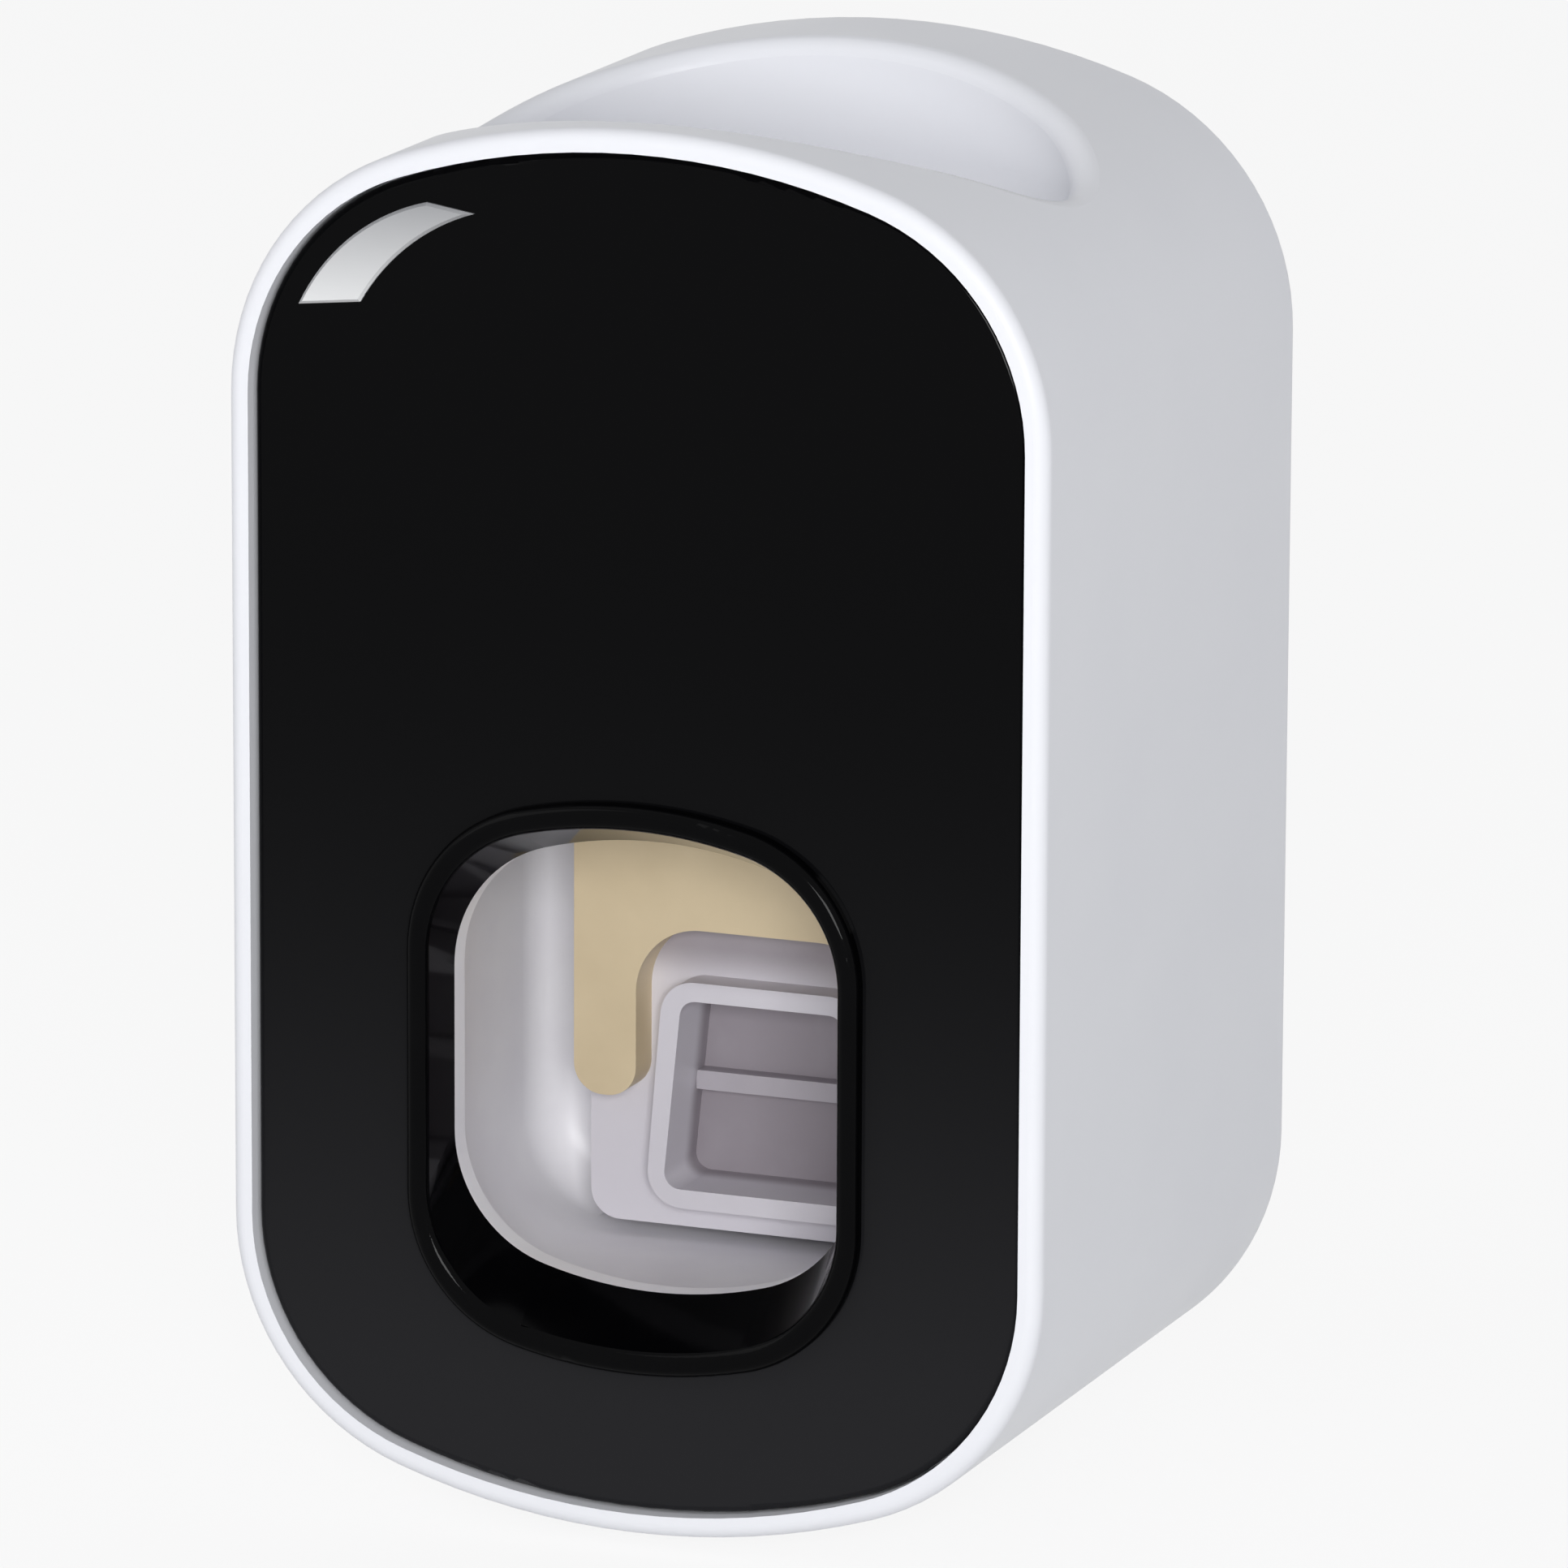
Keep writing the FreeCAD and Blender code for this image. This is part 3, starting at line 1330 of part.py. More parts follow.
def screws(label, shank, length, heads, facing):
    """Group of like screws; their heads face the given way."""
    turn = FreeCAD.Rotation(V(0, 0, 1), facing)
    pattern = screw(value(shank), value(length))
    copies = []
    for head in heads:
        copy = pattern.copy()
        copy.Placement = FreeCAD.Placement(V(*[value(text) for text in head]), turn)
        copies.append(copy)
    made = doc.addObject("Part::Feature", label)
    made.Label = label
    made.Shape = Part.makeCompound(copies)


def all_screws():
    rear, down = V(0, 1, 0), V(0, 0, -1)
    cover = [(across, at_depth("cover_back"), up) for across, up in COVER_PLACES]
    screws("cover_screws", "large_screw", "cover_thickness + cover_screw_bite", cover, rear)
    ears = [(across, at_depth("ear_back"), up) for across, up in EAR_PLACES]
    screws("chamber_screws", "small_screw", "ear_thickness + chamber_boss - screw_end_gap", ears, rear)
    frame = [(across, at_depth("retainer_back"), up) for across, up in RETAINER_PLACES]
    screws("retainer_screws", "small_screw", "dome_rim + retainer_lip + retainer_screw_bite", frame, rear)
    cup = [(across, at_depth("yoke_back + plate_thickness"), up) for across, up in CUP_PLACES]
    length = "plate_thickness + yoke_thickness - pilot_end - screw_end_gap"
    screws("cup_screws", "small_screw", length, cup, rear)
    hanging = [(across, at_depth(depth), "pump_top - pump_plate") for across, depth in PUMP_PLACES]
    screws("pump_screws", "small_screw", "pump_plate + pump_hang - pilot_end - screw_end_gap", hanging, down)


PIECES = [
    outer_casing,
    panel_carrier,
    front_panel,
    panel_tape,
    window_bezel,
    accent_badge,
    mouth_plate,
    brush_chamber,
    trigger_yoke,
    brush_cup,
    pivot_pin,
    return_spring,
    pump_body,
    squeeze_dome,
    dome_retainer,
    tube_socket,
    socket_seal,
    socket_o_ring,
    inlet_valve,
    outlet_nozzle,
    back_cover,
    wall_bracket,
    adhesive_pad,
    stop_bumpers,
    all_screws,
]
for make in PIECES:
    make()
doc.recompute()

# Check every object, then write one file per piece
bad = [item.Name for item in doc.Objects if "Invalid" in item.State or "Error" in item.State]
if bad:
    raise RuntimeError("objects in error: " + ", ".join(bad))
inner = {link for item in doc.Objects if item.TypeId == "Part::Compound" for link in item.Links}
kinds = ("PartDesign::Body", "Part::Feature", "Part::Torus", "Part::Compound")
pieces = [item for item in doc.Objects if item.TypeId in kinds and item not in inner]
for item in pieces:
    if item.Shape.isNull() or not item.Shape.isValid():
        raise RuntimeError(item.Label + " is not a valid solid")
    item.Shape.exportStep(f"parts/{item.Label}.step")
    print(f"{item.Label}: {len(item.Shape.Solids)} solids, {item.Shape.Volume:.1f} mm3")
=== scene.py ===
# %% [markdown]
# Wall-hung toothpaste dispenser
#
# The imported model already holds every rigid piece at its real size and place: the white casing, the
# black panel, the window with its rolled ring, the lever behind it and the pump inside. This lesson
# dresses that model: a camera and soft light, one finish for each kind of plastic, metal and rubber,
# and fresh meshes for the soft pieces that a plain solid can't show.

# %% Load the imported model
import json
import math

import bmesh
import bpy
from mathutils import Matrix, Vector


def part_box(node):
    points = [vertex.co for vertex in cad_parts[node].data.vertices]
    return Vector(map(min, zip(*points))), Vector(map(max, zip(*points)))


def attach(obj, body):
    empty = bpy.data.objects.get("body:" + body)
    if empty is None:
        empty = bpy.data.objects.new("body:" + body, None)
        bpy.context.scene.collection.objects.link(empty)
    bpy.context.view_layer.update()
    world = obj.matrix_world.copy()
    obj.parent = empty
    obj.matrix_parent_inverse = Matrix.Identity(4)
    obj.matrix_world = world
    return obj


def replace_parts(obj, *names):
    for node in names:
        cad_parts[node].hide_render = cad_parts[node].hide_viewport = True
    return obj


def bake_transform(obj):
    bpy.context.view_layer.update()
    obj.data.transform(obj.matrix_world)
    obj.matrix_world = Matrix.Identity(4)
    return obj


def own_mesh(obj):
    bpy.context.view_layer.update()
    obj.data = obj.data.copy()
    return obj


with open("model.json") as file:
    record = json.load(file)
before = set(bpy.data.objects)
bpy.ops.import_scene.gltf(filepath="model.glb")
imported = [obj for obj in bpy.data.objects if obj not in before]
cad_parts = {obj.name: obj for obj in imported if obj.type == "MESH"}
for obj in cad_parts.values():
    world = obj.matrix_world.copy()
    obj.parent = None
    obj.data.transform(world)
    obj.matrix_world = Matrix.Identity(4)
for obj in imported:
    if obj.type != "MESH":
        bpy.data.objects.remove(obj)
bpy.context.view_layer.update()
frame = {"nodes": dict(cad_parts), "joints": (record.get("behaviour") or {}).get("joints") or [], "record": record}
MM = 0.001

# %% [markdown]
# The camera
#
# The dispenser is seen from a little above and from its right, with a long lens, so the upright edges
# stay nearly parallel. A camera is easiest to place from its own three axes: where it looks from, what
# is right and what is up. Those three vectors are the columns of its matrix, and no tracking is needed.

# %% Place the camera
CASING_LOW, CASING_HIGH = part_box("outer_casing")
CASING_MIDDLE = (CASING_LOW + CASING_HIGH) / 2
VIEW_AZIMUTH = math.radians(21.787)
VIEW_ELEVATION = math.radians(13.106)
VIEW_ROLL = math.radians(0.245)
VIEW_DISTANCE = 875.4 * MM
VIEW_LENS = 282.6
VIEW_SHIFT = (0.0112, -0.0111)


def camera_axes(azimuth, elevation, roll):
    """Right, up and backward directions of a camera that looks at the origin."""
    flat = math.cos(elevation)
    back = Vector((math.sin(azimuth) * flat, -math.cos(azimuth) * flat, math.sin(elevation)))
    right = Vector((math.cos(azimuth), math.sin(azimuth), 0.0))
    turn = Matrix.Rotation(roll, 3, back)
    return turn @ right, turn @ back.cross(right), back


def place_camera():
    lens = bpy.data.cameras.new("photo_camera")
    lens.sensor_width = 36.0
    lens.lens = VIEW_LENS
    lens.shift_x, lens.shift_y = VIEW_SHIFT
    camera = bpy.data.objects.new("photo_camera", lens)
    bpy.context.scene.collection.objects.link(camera)
    right, up, back = camera_axes(VIEW_AZIMUTH, VIEW_ELEVATION, VIEW_ROLL)
    matrix = Matrix((right, up, back)).transposed().to_4x4()
    matrix.translation = CASING_MIDDLE + back * VIEW_DISTANCE
    camera.matrix_world = matrix
    bpy.context.scene.camera = camera
    return camera


camera = place_camera()
print("camera at", [round(place, 3) for place in camera.matrix_world.translation])

# %% [markdown]
# Shader maths as plain expressions
#
# A finish is mostly arithmetic on noise: roughness is a base plus a little noise, a bump is the sum of
# two grains. Wiring Math nodes by hand hides that, so one small class wraps a socket and adds the nodes
# whenever its value meets an operator. Every other node comes from one method of the graph.

# %% Wrap a socket and a node graph
class Signal:
    """Value on one socket; arithmetic on it adds Math nodes to its graph."""

    def __init__(self, graph, socket):
        self.graph = graph
        self.socket = socket

    def math(self, operation, first, second):
        return self.graph.node("ShaderNodeMath", {"operation": operation}, {0: first, 1: second})

    def __add__(self, other):
        return self.math("ADD", self, other)

    def __sub__(self, other):
        return self.math("SUBTRACT", self, other)

    def __rsub__(self, other):
        return self.math("SUBTRACT", other, self)

    def __mul__(self, other):
        return self.math("MULTIPLY", self, other)

    __radd__ = __add__
    __rmul__ = __mul__


class Graph:
    """Node tree of one finish, of the floor or of the world."""

    def __init__(self, owner):
        owner.use_nodes = True
        self.tree = owner.node_tree
        self.tree.nodes.clear()

    def node(self, kind, settings=None, values=None, output=0):
        """Add a node: settings first, then the value or link of each named socket."""
        made = self.tree.nodes.new(kind)
        for name, setting in (settings or {}).items():
            if name == "stops":
                self.set_stops(made.color_ramp, setting)
            else:
                setattr(made, name, setting)
        for name, value in (values or {}).items():
            if isinstance(value, Signal):
                self.tree.links.new(value.socket, made.inputs[name])
            else:
                made.inputs[name].default_value = value
        return Signal(self, made.outputs[output]) if made.outputs else None

    @staticmethod
    def set_stops(ramp, stops):
        while len(ramp.elements) < len(stops):
            ramp.elements.new(0.5)
        for element, (place, shade) in zip(ramp.elements, stops):
            element.position = place
            element.color = (shade, shade, shade, 1.0)

    def place(self):
        """Position on the piece, in metres."""
        return self.node("ShaderNodeTexCoord", output="Object")

    def noise(self, size, detail=2.0, stretch=(1.0, 1.0, 1.0)):
        """Cloudy noise from 0 to 1 whose features are about size metres across."""
        scaled = self.node("ShaderNodeMapping", None, {"Vector": self.place(), "Scale": stretch})
        return self.node("ShaderNodeTexNoise", None, {"Vector": scaled, "Scale": 1 / size, "Detail": detail})

    def ramp(self, signal, *stops):
        """Redraw a signal through grey stops of (place, shade)."""
        return self.node("ShaderNodeValToRGB", {"stops": stops}, {"Fac": signal})

    def blend(self, factor, first, second):
        """Mix two colours."""
        return self.node("ShaderNodeMix", {"data_type": "RGBA"}, {0: factor, 6: first, 7: second}, output=2)

    def bump(self, height, distance, strength=1.0):
        inputs = {"Height": height, "Distance": distance, "Strength": strength}
        return self.node("ShaderNodeBump", None, inputs)

    def surface(self, **sockets):
        """Close the graph with a shader; underscores in the names stand for spaces."""
        values = {name.replace("_", " "): value for name, value in sockets.items()}
        shader = self.node("ShaderNodeBsdfPrincipled", None, values)
        self.node("ShaderNodeOutputMaterial", None, {"Surface": shader})


def tone(red, green, blue):
    """Colour from its 0 to 255 screen values."""

    def linear(level):
        share = level / 255
        return share / 12.92 if share <= 0.04045 else ((share + 0.055) / 1.055) ** 2.4

    return (linear(red), linear(green), linear(blue), 1.0)


print("a mid grey of 128 is", round(tone(128, 128, 128)[0], 3), "in light")

# %% [markdown]
# Floor, background and light
#
# The dispenser is shown as in a product shot: white all round, even light, and a main lamp close to the
# camera, which is why even the chamber behind the window is bright and has no hard shadow. The floor is
# a wide sheet just under the casing that the camera, mirrors and glass see as white, while its own
# diffuse part still takes the soft shadow. The lamp is small enough to draw a crisp line on the black ring.

# %% Build the floor and the white surround
FLOOR_DROP = 1.0 * MM
FLOOR_SIZE = 8.0
FLOOR_WHITE = 0.88


def seen_directly(graph):
    """1 for rays that show the background itself: from the camera, off gloss and through glass."""
    rays = [graph.node("ShaderNodeLightPath", output=name)
            for name in ("Is Camera Ray", "Is Glossy Ray", "Is Transmission Ray")]
    glossy = graph.node("ShaderNodeMath", {"operation": "MAXIMUM"}, {0: rays[1], 1: rays[2]})
    return graph.node("ShaderNodeMath", {"operation": "MAXIMUM"}, {0: rays[0], 1: glossy})


def build_floor():
    mesh = bpy.data.meshes.new("floor")
    half = FLOOR_SIZE / 2
    level = CASING_LOW.z - FLOOR_DROP
    corners = [(-half, -half, level), (half, -half, level), (half, half, level), (-half, half, level)]
    mesh.from_pydata(corners, [], [(0, 1, 2, 3)])
    floor = bpy.data.objects.new("floor", mesh)
    bpy.context.scene.collection.objects.link(floor)
    material = bpy.data.materials.new("pale_floor")
    graph = Graph(material)
    paper = graph.node("ShaderNodeBsdfDiffuse", None, {"Color": (0.9, 0.9, 0.9, 1.0)})
    white = graph.node("ShaderNodeEmission", None, {"Color": (1.0, 1.0, 1.0, 1.0), "Strength": 1.0})
    share = seen_directly(graph) * FLOOR_WHITE
    mixed = graph.node("ShaderNodeMixShader", None, {0: share, 1: paper, 2: white})
    graph.node("ShaderNodeOutputMaterial", None, {"Surface": mixed})
    mesh.materials.append(material)
    return floor


def build_world():
    world = bpy.data.worlds.new("studio")
    bpy.context.scene.world = world
    graph = Graph(world)
    ambient = graph.node("ShaderNodeBackground", None, {"Color": (0.96, 0.97, 1.0, 1.0), "Strength": 0.38})
    white = graph.node("ShaderNodeBackground", None, {"Color": (1.0, 1.0, 1.0, 1.0), "Strength": 1.0})
    mixed = graph.node("ShaderNodeMixShader", None, {0: seen_directly(graph), 1: ambient, 2: white})
    graph.node("ShaderNodeOutputWorld", None, {"Surface": mixed})


bpy.context.scene.view_settings.view_transform = "Standard"
floor = build_floor()
build_world()
print("floor at", round(floor.data.vertices[0].co.z / MM, 1), "mm")

# %% [markdown]
# The lamps
#
# A wide lamp close to the camera lights the front and reaches into the window. A weaker one on the left
# keeps the dish and the left edge from going dark.

# %% Hang the lamps
# azimuth and elevation in degrees, distance, size and power
LAMPS = {
    "key_by_camera": (23.0, 12.5, 1.0, 0.3, 5.8),
    "fill_left": (-50.0, 32.0, 1.1, 0.6, 1.4),
}


def hang_lamp(name, azimuth, elevation, distance, size, power):
    lamp = bpy.data.lights.new(name, "AREA")
    lamp.size = size
    lamp.energy = power
    made = bpy.data.objects.new(name, lamp)
    bpy.context.scene.collection.objects.link(made)
    back = camera_axes(math.radians(azimuth), math.radians(elevation), 0.0)[2]
    made.location = CASING_MIDDLE + back * distance
    made.rotation_euler = back.to_track_quat("Z", "Y").to_euler()
    return made


for name, settings in LAMPS.items():
    hang_lamp(name, *settings)
print("lamps:", ", ".join(LAMPS))

# %% [markdown]
# Glossy white casing
#
# The shell, the back cover and the bracket are injection-moulded in white plastic. A polished mould
# still leaves a faint orange peel, and hands leave patches that shine a little less. Both are far too
# fine to model, so a shallow bump gives the peel and slow noise moves the roughness.

# %% Finish: white casing
def white_casing():
    material = bpy.data.materials.new("white_casing")
    graph = Graph(material)
    patches = graph.noise(14 * MM, 3.0)
    handled = graph.ramp(patches, (0.42, 0.0), (0.7, 1.0))
    peel = graph.noise(1.6 * MM, 1.0)
    grain = graph.noise(0.35 * MM, 1.0)
    colour = graph.blend(patches, tone(239, 240, 244), tone(235, 236, 241))
    graph.surface(
        Base_Color=colour,
        Roughness=0.28 + handled * 0.04 + grain * 0.03,
        Normal=graph.bump(peel + grain * 0.25, 0.012 * MM, 0.35),
        Specular_IOR_Level=0.15,
    )
    return material


# %% [markdown]
# High-gloss black panel
#
# The panel and the ring round the window are black acrylic polished like a mirror. What one sees on such
# a surface is nearly all reflection, so its own colour is close to black, a painted reflection lightens
# the panel's colour over its lower half, and a few hair scratches break up the highlights.

# %% Finish: black gloss
PANEL_LOW, PANEL_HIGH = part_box("front_panel")


def black_gloss():
    material = bpy.data.materials.new("black_gloss")
    graph = Graph(material)
    height = graph.node("ShaderNodeSeparateXYZ", None, {"Vector": graph.place()}, output="Z")
    span = {1: PANEL_LOW.z, 2: PANEL_HIGH.z, 3: 1.0, 4: 0.0}
    # painted reflection: the panel's colour grows lighter towards its bottom edge
    painted_reflection_low = graph.node("ShaderNodeMapRange", {"interpolation_type": "SMOOTHSTEP"}, {0: height, **span})
    haze = graph.noise(9 * MM, 4.0)
    scratches = graph.ramp(graph.noise(0.5 * MM, 1.0, (1.0, 1.0, 0.04)), (0.66, 0.0), (0.72, 1.0))
    colour = graph.blend(painted_reflection_low * painted_reflection_low * painted_reflection_low, tone(4, 4, 5), tone(36, 36, 38))
    graph.surface(
        Base_Color=colour,
        Roughness=0.035 + haze * 0.04 + scratches * 0.05,
        Normal=graph.bump(haze, 0.004 * MM, 0.2),
        Specular_IOR_Level=0.055,
    )
    return material


def ring_gloss():
    material = bpy.data.materials.new("ring_gloss")
    graph = Graph(material)
    haze = graph.noise(5 * MM, 3.0)
    graph.surface(
        Base_Color=graph.blend(haze, tone(2, 2, 3), tone(5, 5, 6)),
        Roughness=0.05 + haze * 0.05,
        Normal=graph.bump(haze, 0.003 * MM, 0.2),
        Specular_IOR_Level=0.05,
    )
    return material


# %% [markdown]
# Satin silver badge
#
# The small curved inlay at the panel's corner is thin metal-coated trim, brushed along its length. Noise
# that is stretched one way gives the brushing, and a painted reflection runs its colour from bright at its
# broad lower end to a deeper grey at its slim end. The bevelled edge in the model catches the light by itself.

# %% Finish: silver trim
def silver_trim():
    material = bpy.data.materials.new("silver_trim")
    graph = Graph(material)
    brushed = graph.noise(0.12 * MM, 2.0, (0.08, 1.0, 1.0))
    cloud = graph.noise(6 * MM, 2.0)
    low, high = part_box("accent_badge")
    spot = graph.node("ShaderNodeSeparateXYZ", None, {"Vector": graph.place()}, output="Z")
    # painted reflection: colour bright at the bottom of the badge and deeper grey at its top
    painted_reflection_rise = graph.node("ShaderNodeMapRange", None, {0: spot, 1: low.z, 2: high.z, 3: 0.0, 4: 1.0})
    colour = graph.blend(painted_reflection_rise, tone(226, 227, 228), tone(158, 159, 162))
    graph.surface(
        Base_Color=colour,
        Metallic=0.55 + cloud * 0.15,
        Roughness=0.3 + brushed * 0.16,
        Normal=graph.bump(brushed, 0.004 * MM, 0.4),
    )
    return material


# %% [markdown]
# The brush cup
#
# The cup sits well back behind the window. Its colour carries painted shade, darker at the back and under
# the lever's arch where little light gets in, so its colour follows the depth and the height in the cup.

# %% Finish: the brush cup
CUP_LOW, CUP_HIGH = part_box("brush_cup")


def cup_plastic():
    """Grey plastic with painted shade: darker at the back of the cup and under the lever's arch."""
    material = bpy.data.materials.new("cup_plastic")
    graph = Graph(material)
    depth = graph.node("ShaderNodeSeparateXYZ", None, {"Vector": graph.place()}, output="Y")
    height = graph.node("ShaderNodeSeparateXYZ", None, {"Vector": graph.place()}, output="Z")
    # painted shade: darker towards the back of the cup and under the lever's arch
    span = {1: CUP_LOW.y + 3.5 * MM, 2: CUP_LOW.y + 5.5 * MM, 3: 0.0, 4: 1.0}
    painted_shade_back = graph.node("ShaderNodeMapRange", {"interpolation_type": "SMOOTHSTEP"}, {0: depth, **span})
    span = {1: CUP_HIGH.z - 6 * MM, 2: CUP_HIGH.z - 3 * MM, 3: 0.0, 4: 1.0}
    painted_shade_under_arch = graph.node("ShaderNodeMapRange", {"interpolation_type": "SMOOTHSTEP"}, {0: height, **span})
    film = graph.noise(5 * MM, 4.0)
    grain = graph.noise(0.3 * MM, 2.0)
    painted_shade_mix = graph.node("ShaderNodeMath", {"operation": "MAXIMUM"}, {0: painted_shade_back, 1: painted_shade_under_arch * 0.9})
    graph.surface(
        Base_Color=graph.blend(painted_shade_mix * (0.85 + film * 0.3), tone(218, 215, 222), tone(152, 145, 152)),
        Roughness=0.32 + film * 0.1 + grain * 0.06,
        Normal=graph.bump(grain, 0.01 * MM, 0.4),
        Specular_IOR_Level=0.45,
    )
    return material


# %% [markdown]
# Plastics inside the window
#
# Three inner plastics show through the window: the pale, slightly lavender chamber, the cream lever and
# the grey cup. They are moulded with a fine spark-eroded grain instead of a polish, so they share one
# recipe, and only the colours, the grain and the sheen differ.

# %% Finish: inner plastics
def moulded(name, light, dark, roughness, grain_size):
    """Satin plastic with a fine grain, a little darker where paste and water have left a film."""
    material = bpy.data.materials.new(name)
    graph = Graph(material)
    film = graph.noise(7 * MM, 4.0)
    grain = graph.noise(grain_size, 2.0)
    stain = graph.ramp(film, (0.35, 0.0), (0.8, 1.0))
    graph.surface(
        Base_Color=graph.blend(stain, light, dark),
        Roughness=roughness + film * 0.08 + grain * 0.06,
        Normal=graph.bump(grain, 0.01 * MM, 0.4),
        Specular_IOR_Level=0.45,
    )
    return material


# %% [markdown]
# Rubbers, foam and tape
#
# Silicone is milky and lets a little light in, so it gets a touch of light scattering under its skin.
# The sealing ring is plain black rubber, and the pad behind the bracket is closed-cell foam whose cells
# show as small round pits. The tape behind the panel is a dull sheet.

# %% Finish: soft materials
def silicone():
    material = bpy.data.materials.new("silicone")
    graph = Graph(material)
    cloud = graph.noise(4 * MM, 3.0)
    skin = graph.noise(0.4 * MM, 2.0)
    graph.surface(
        Base_Color=graph.blend(cloud, tone(226, 227, 228), tone(206, 208, 212)),
        Roughness=0.38 + cloud * 0.12 + skin * 0.05,
        Normal=graph.bump(skin, 0.012 * MM, 0.35),
        Subsurface_Weight=0.25,
        Subsurface_Radius=(1.5 * MM, 1.4 * MM, 1.3 * MM),
        Subsurface_Scale=1.0,
    )
    return material


def cells(graph, size):
    """Round cells, lowest in their middles, where dull() paints shade into the pits."""
    return graph.node("ShaderNodeTexVoronoi", None, {"Vector": graph.place(), "Scale": 1 / size})


def dull(name, light, dark, roughness, relief, depth):
    """Matt surface whose relief also darkens its hollows with painted shade."""
    material = bpy.data.materials.new(name)
    graph = Graph(material)
    height = relief(graph)
    # painted shade: the colour is darker where the relief is low
    graph.surface(
        Base_Color=graph.blend(height, dark, light),
        Roughness=roughness + height * 0.08,
        Normal=graph.bump(height, depth, 0.6),
        Specular_IOR_Level=0.3,
    )
    return material


# %% [markdown]
# Steel fasteners
#
# Screws, pin and spring are small bright steel parts. Turning and tumbling leave fine random marks,
# so the noise only moves the roughness and a hint of the colour.

# %% Finish: steel
def steel():
    material = bpy.data.materials.new("steel")
    graph = Graph(material)
    marks = graph.noise(0.2 * MM, 3.0, (1.0, 0.3, 1.0))
    tarnish = graph.noise(2.5 * MM, 3.0)
    graph.surface(
        Base_Color=graph.blend(tarnish, tone(205, 206, 208), tone(176, 177, 180)),
        Metallic=1.0,
        Roughness=0.24 + marks * 0.16,
        Normal=graph.bump(marks, 0.003 * MM, 0.4),
    )
    return material


# %% [markdown]
# Laying the finishes on
#
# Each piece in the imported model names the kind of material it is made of. One finish is made for each kind
# and shared by all the pieces of it.

# %% Make every finish and lay it on the rigid pieces
FINISHES = {
    "white_casing": white_casing(),
    "black_gloss": black_gloss(),
    "ring_gloss": ring_gloss(),
    "cup_plastic": cup_plastic(),
    "silver_trim": silver_trim(),
    "chamber_white": moulded("chamber_white", tone(245, 244, 248), tone(238, 236, 242), 0.3, 0.3 * MM),
    "cream_plastic": moulded("cream_plastic", tone(222, 204, 170), tone(212, 194, 160), 0.38, 0.25 * MM),
    "grey_plastic": moulded("grey_plastic", tone(216, 213, 220), tone(206, 203, 211), 0.34, 0.3 * MM),
    "silicone": silicone(),
    "black_rubber": dull("black_rubber", tone(34, 34, 35), tone(20, 20, 21), 0.5,
                         lambda graph: graph.noise(0.5 * MM, 3.0), 0.02 * MM),
    "foam_tape": dull("foam_tape", tone(224, 223, 218), tone(196, 195, 190), 0.75,
                      lambda graph: cells(graph, 0.45 * MM), 0.12 * MM),
    "tape": dull("tape", tone(222, 218, 206), tone(206, 201, 188), 0.6,
                 lambda graph: graph.noise(1.2 * MM, 4.0), 0.02 * MM),
    "steel": steel(),
}
SLOT_OF = {part["node"]: part["material_slot"] for part in frame["record"]["subparts"]}
FINISH_OF = {**SLOT_OF, "window_bezel": "ring_gloss", "brush_cup": "cup_plastic"}
for name, node in frame["nodes"].items():
    node.data.materials.clear()
    node.data.materials.append(FINISHES[FINISH_OF[name]])
print("finishes:", len(FINISHES), "on", len(SLOT_OF), "nodes")

# %% [markdown]
# Turned soft pieces
#
# The seal in the tube socket, the squeeze dome, the valve, the nozzle, the ring and the bumpers are all
# round, so each is drawn as half a section and turned about its axis, as on a lathe. One helper turns a
# list of (radius, height) points; a subdivision surface then rounds the section, and closely spaced
# points keep an edge tight.

# %% A lathe for round pieces
SIDES = 48


def link_piece(name, mesh, body, slot):
    """Put a finished mesh into the scene: its body, its slot and its finish."""
    piece = bpy.data.objects.new(name, mesh)
    bpy.context.scene.collection.objects.link(piece)
    piece.data.materials.append(FINISHES[slot])
    for polygon in mesh.polygons:
        polygon.use_smooth = True
    if body:
        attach(piece, body)
    return piece


def lathe(section, centre, axis, closed=True, sides=SIDES):
    """Mesh turned about an axis through centre from (radius, height) points in metres."""
    bm = bmesh.new()
    turn = axis.to_track_quat("Z", "Y").to_matrix()
    rings = []
    for radius, height in section:
        steps = [math.tau * step / sides for step in range(sides)]
        spots = [Vector((radius * math.cos(a), radius * math.sin(a), height)) for a in steps]
        rings.append([bm.verts.new(centre + turn @ spot) for spot in spots])
    pairs = list(zip(rings, rings[1:]))
    if closed:
        pairs.append((rings[-1], rings[0]))
    for first, second in pairs:
        for step in range(sides):
            after = (step + 1) % sides
            bm.faces.new((first[step], first[after], second[after], second[step]))
    if not closed:
        for ring in (rings[0], rings[-1]):
            bm.faces.new(ring)
    bmesh.ops.recalc_face_normals(bm, faces=bm.faces)
    mesh = bpy.data.meshes.new("turned")
    bm.to_mesh(mesh)
    bm.free()
    return mesh


def soften(piece, levels=1):
    """Round a piece with a subdivision surface."""
    made = piece.modifiers.new("soften", "SUBSURF")
    made.levels = levels
    made.render_levels = levels


UP = Vector((0, 0, 1))
BACK = Vector((0, 1, 0))
print("lathe with", SIDES, "sides")

# %% [markdown]
# Seal of the tube socket
#
# A toothpaste tube is pushed neck first into this silicone sleeve. Real sleeves carry thin lips inside
# that fold round the neck and keep air out. The section goes up the outside, over a rounded mouth and
# down the inside, with three lips on the way.

# %% Make the socket seal
LIP_COUNT = 3
LIP_RISE = 0.35 * MM
SEAL_ROUND = 0.25 * MM


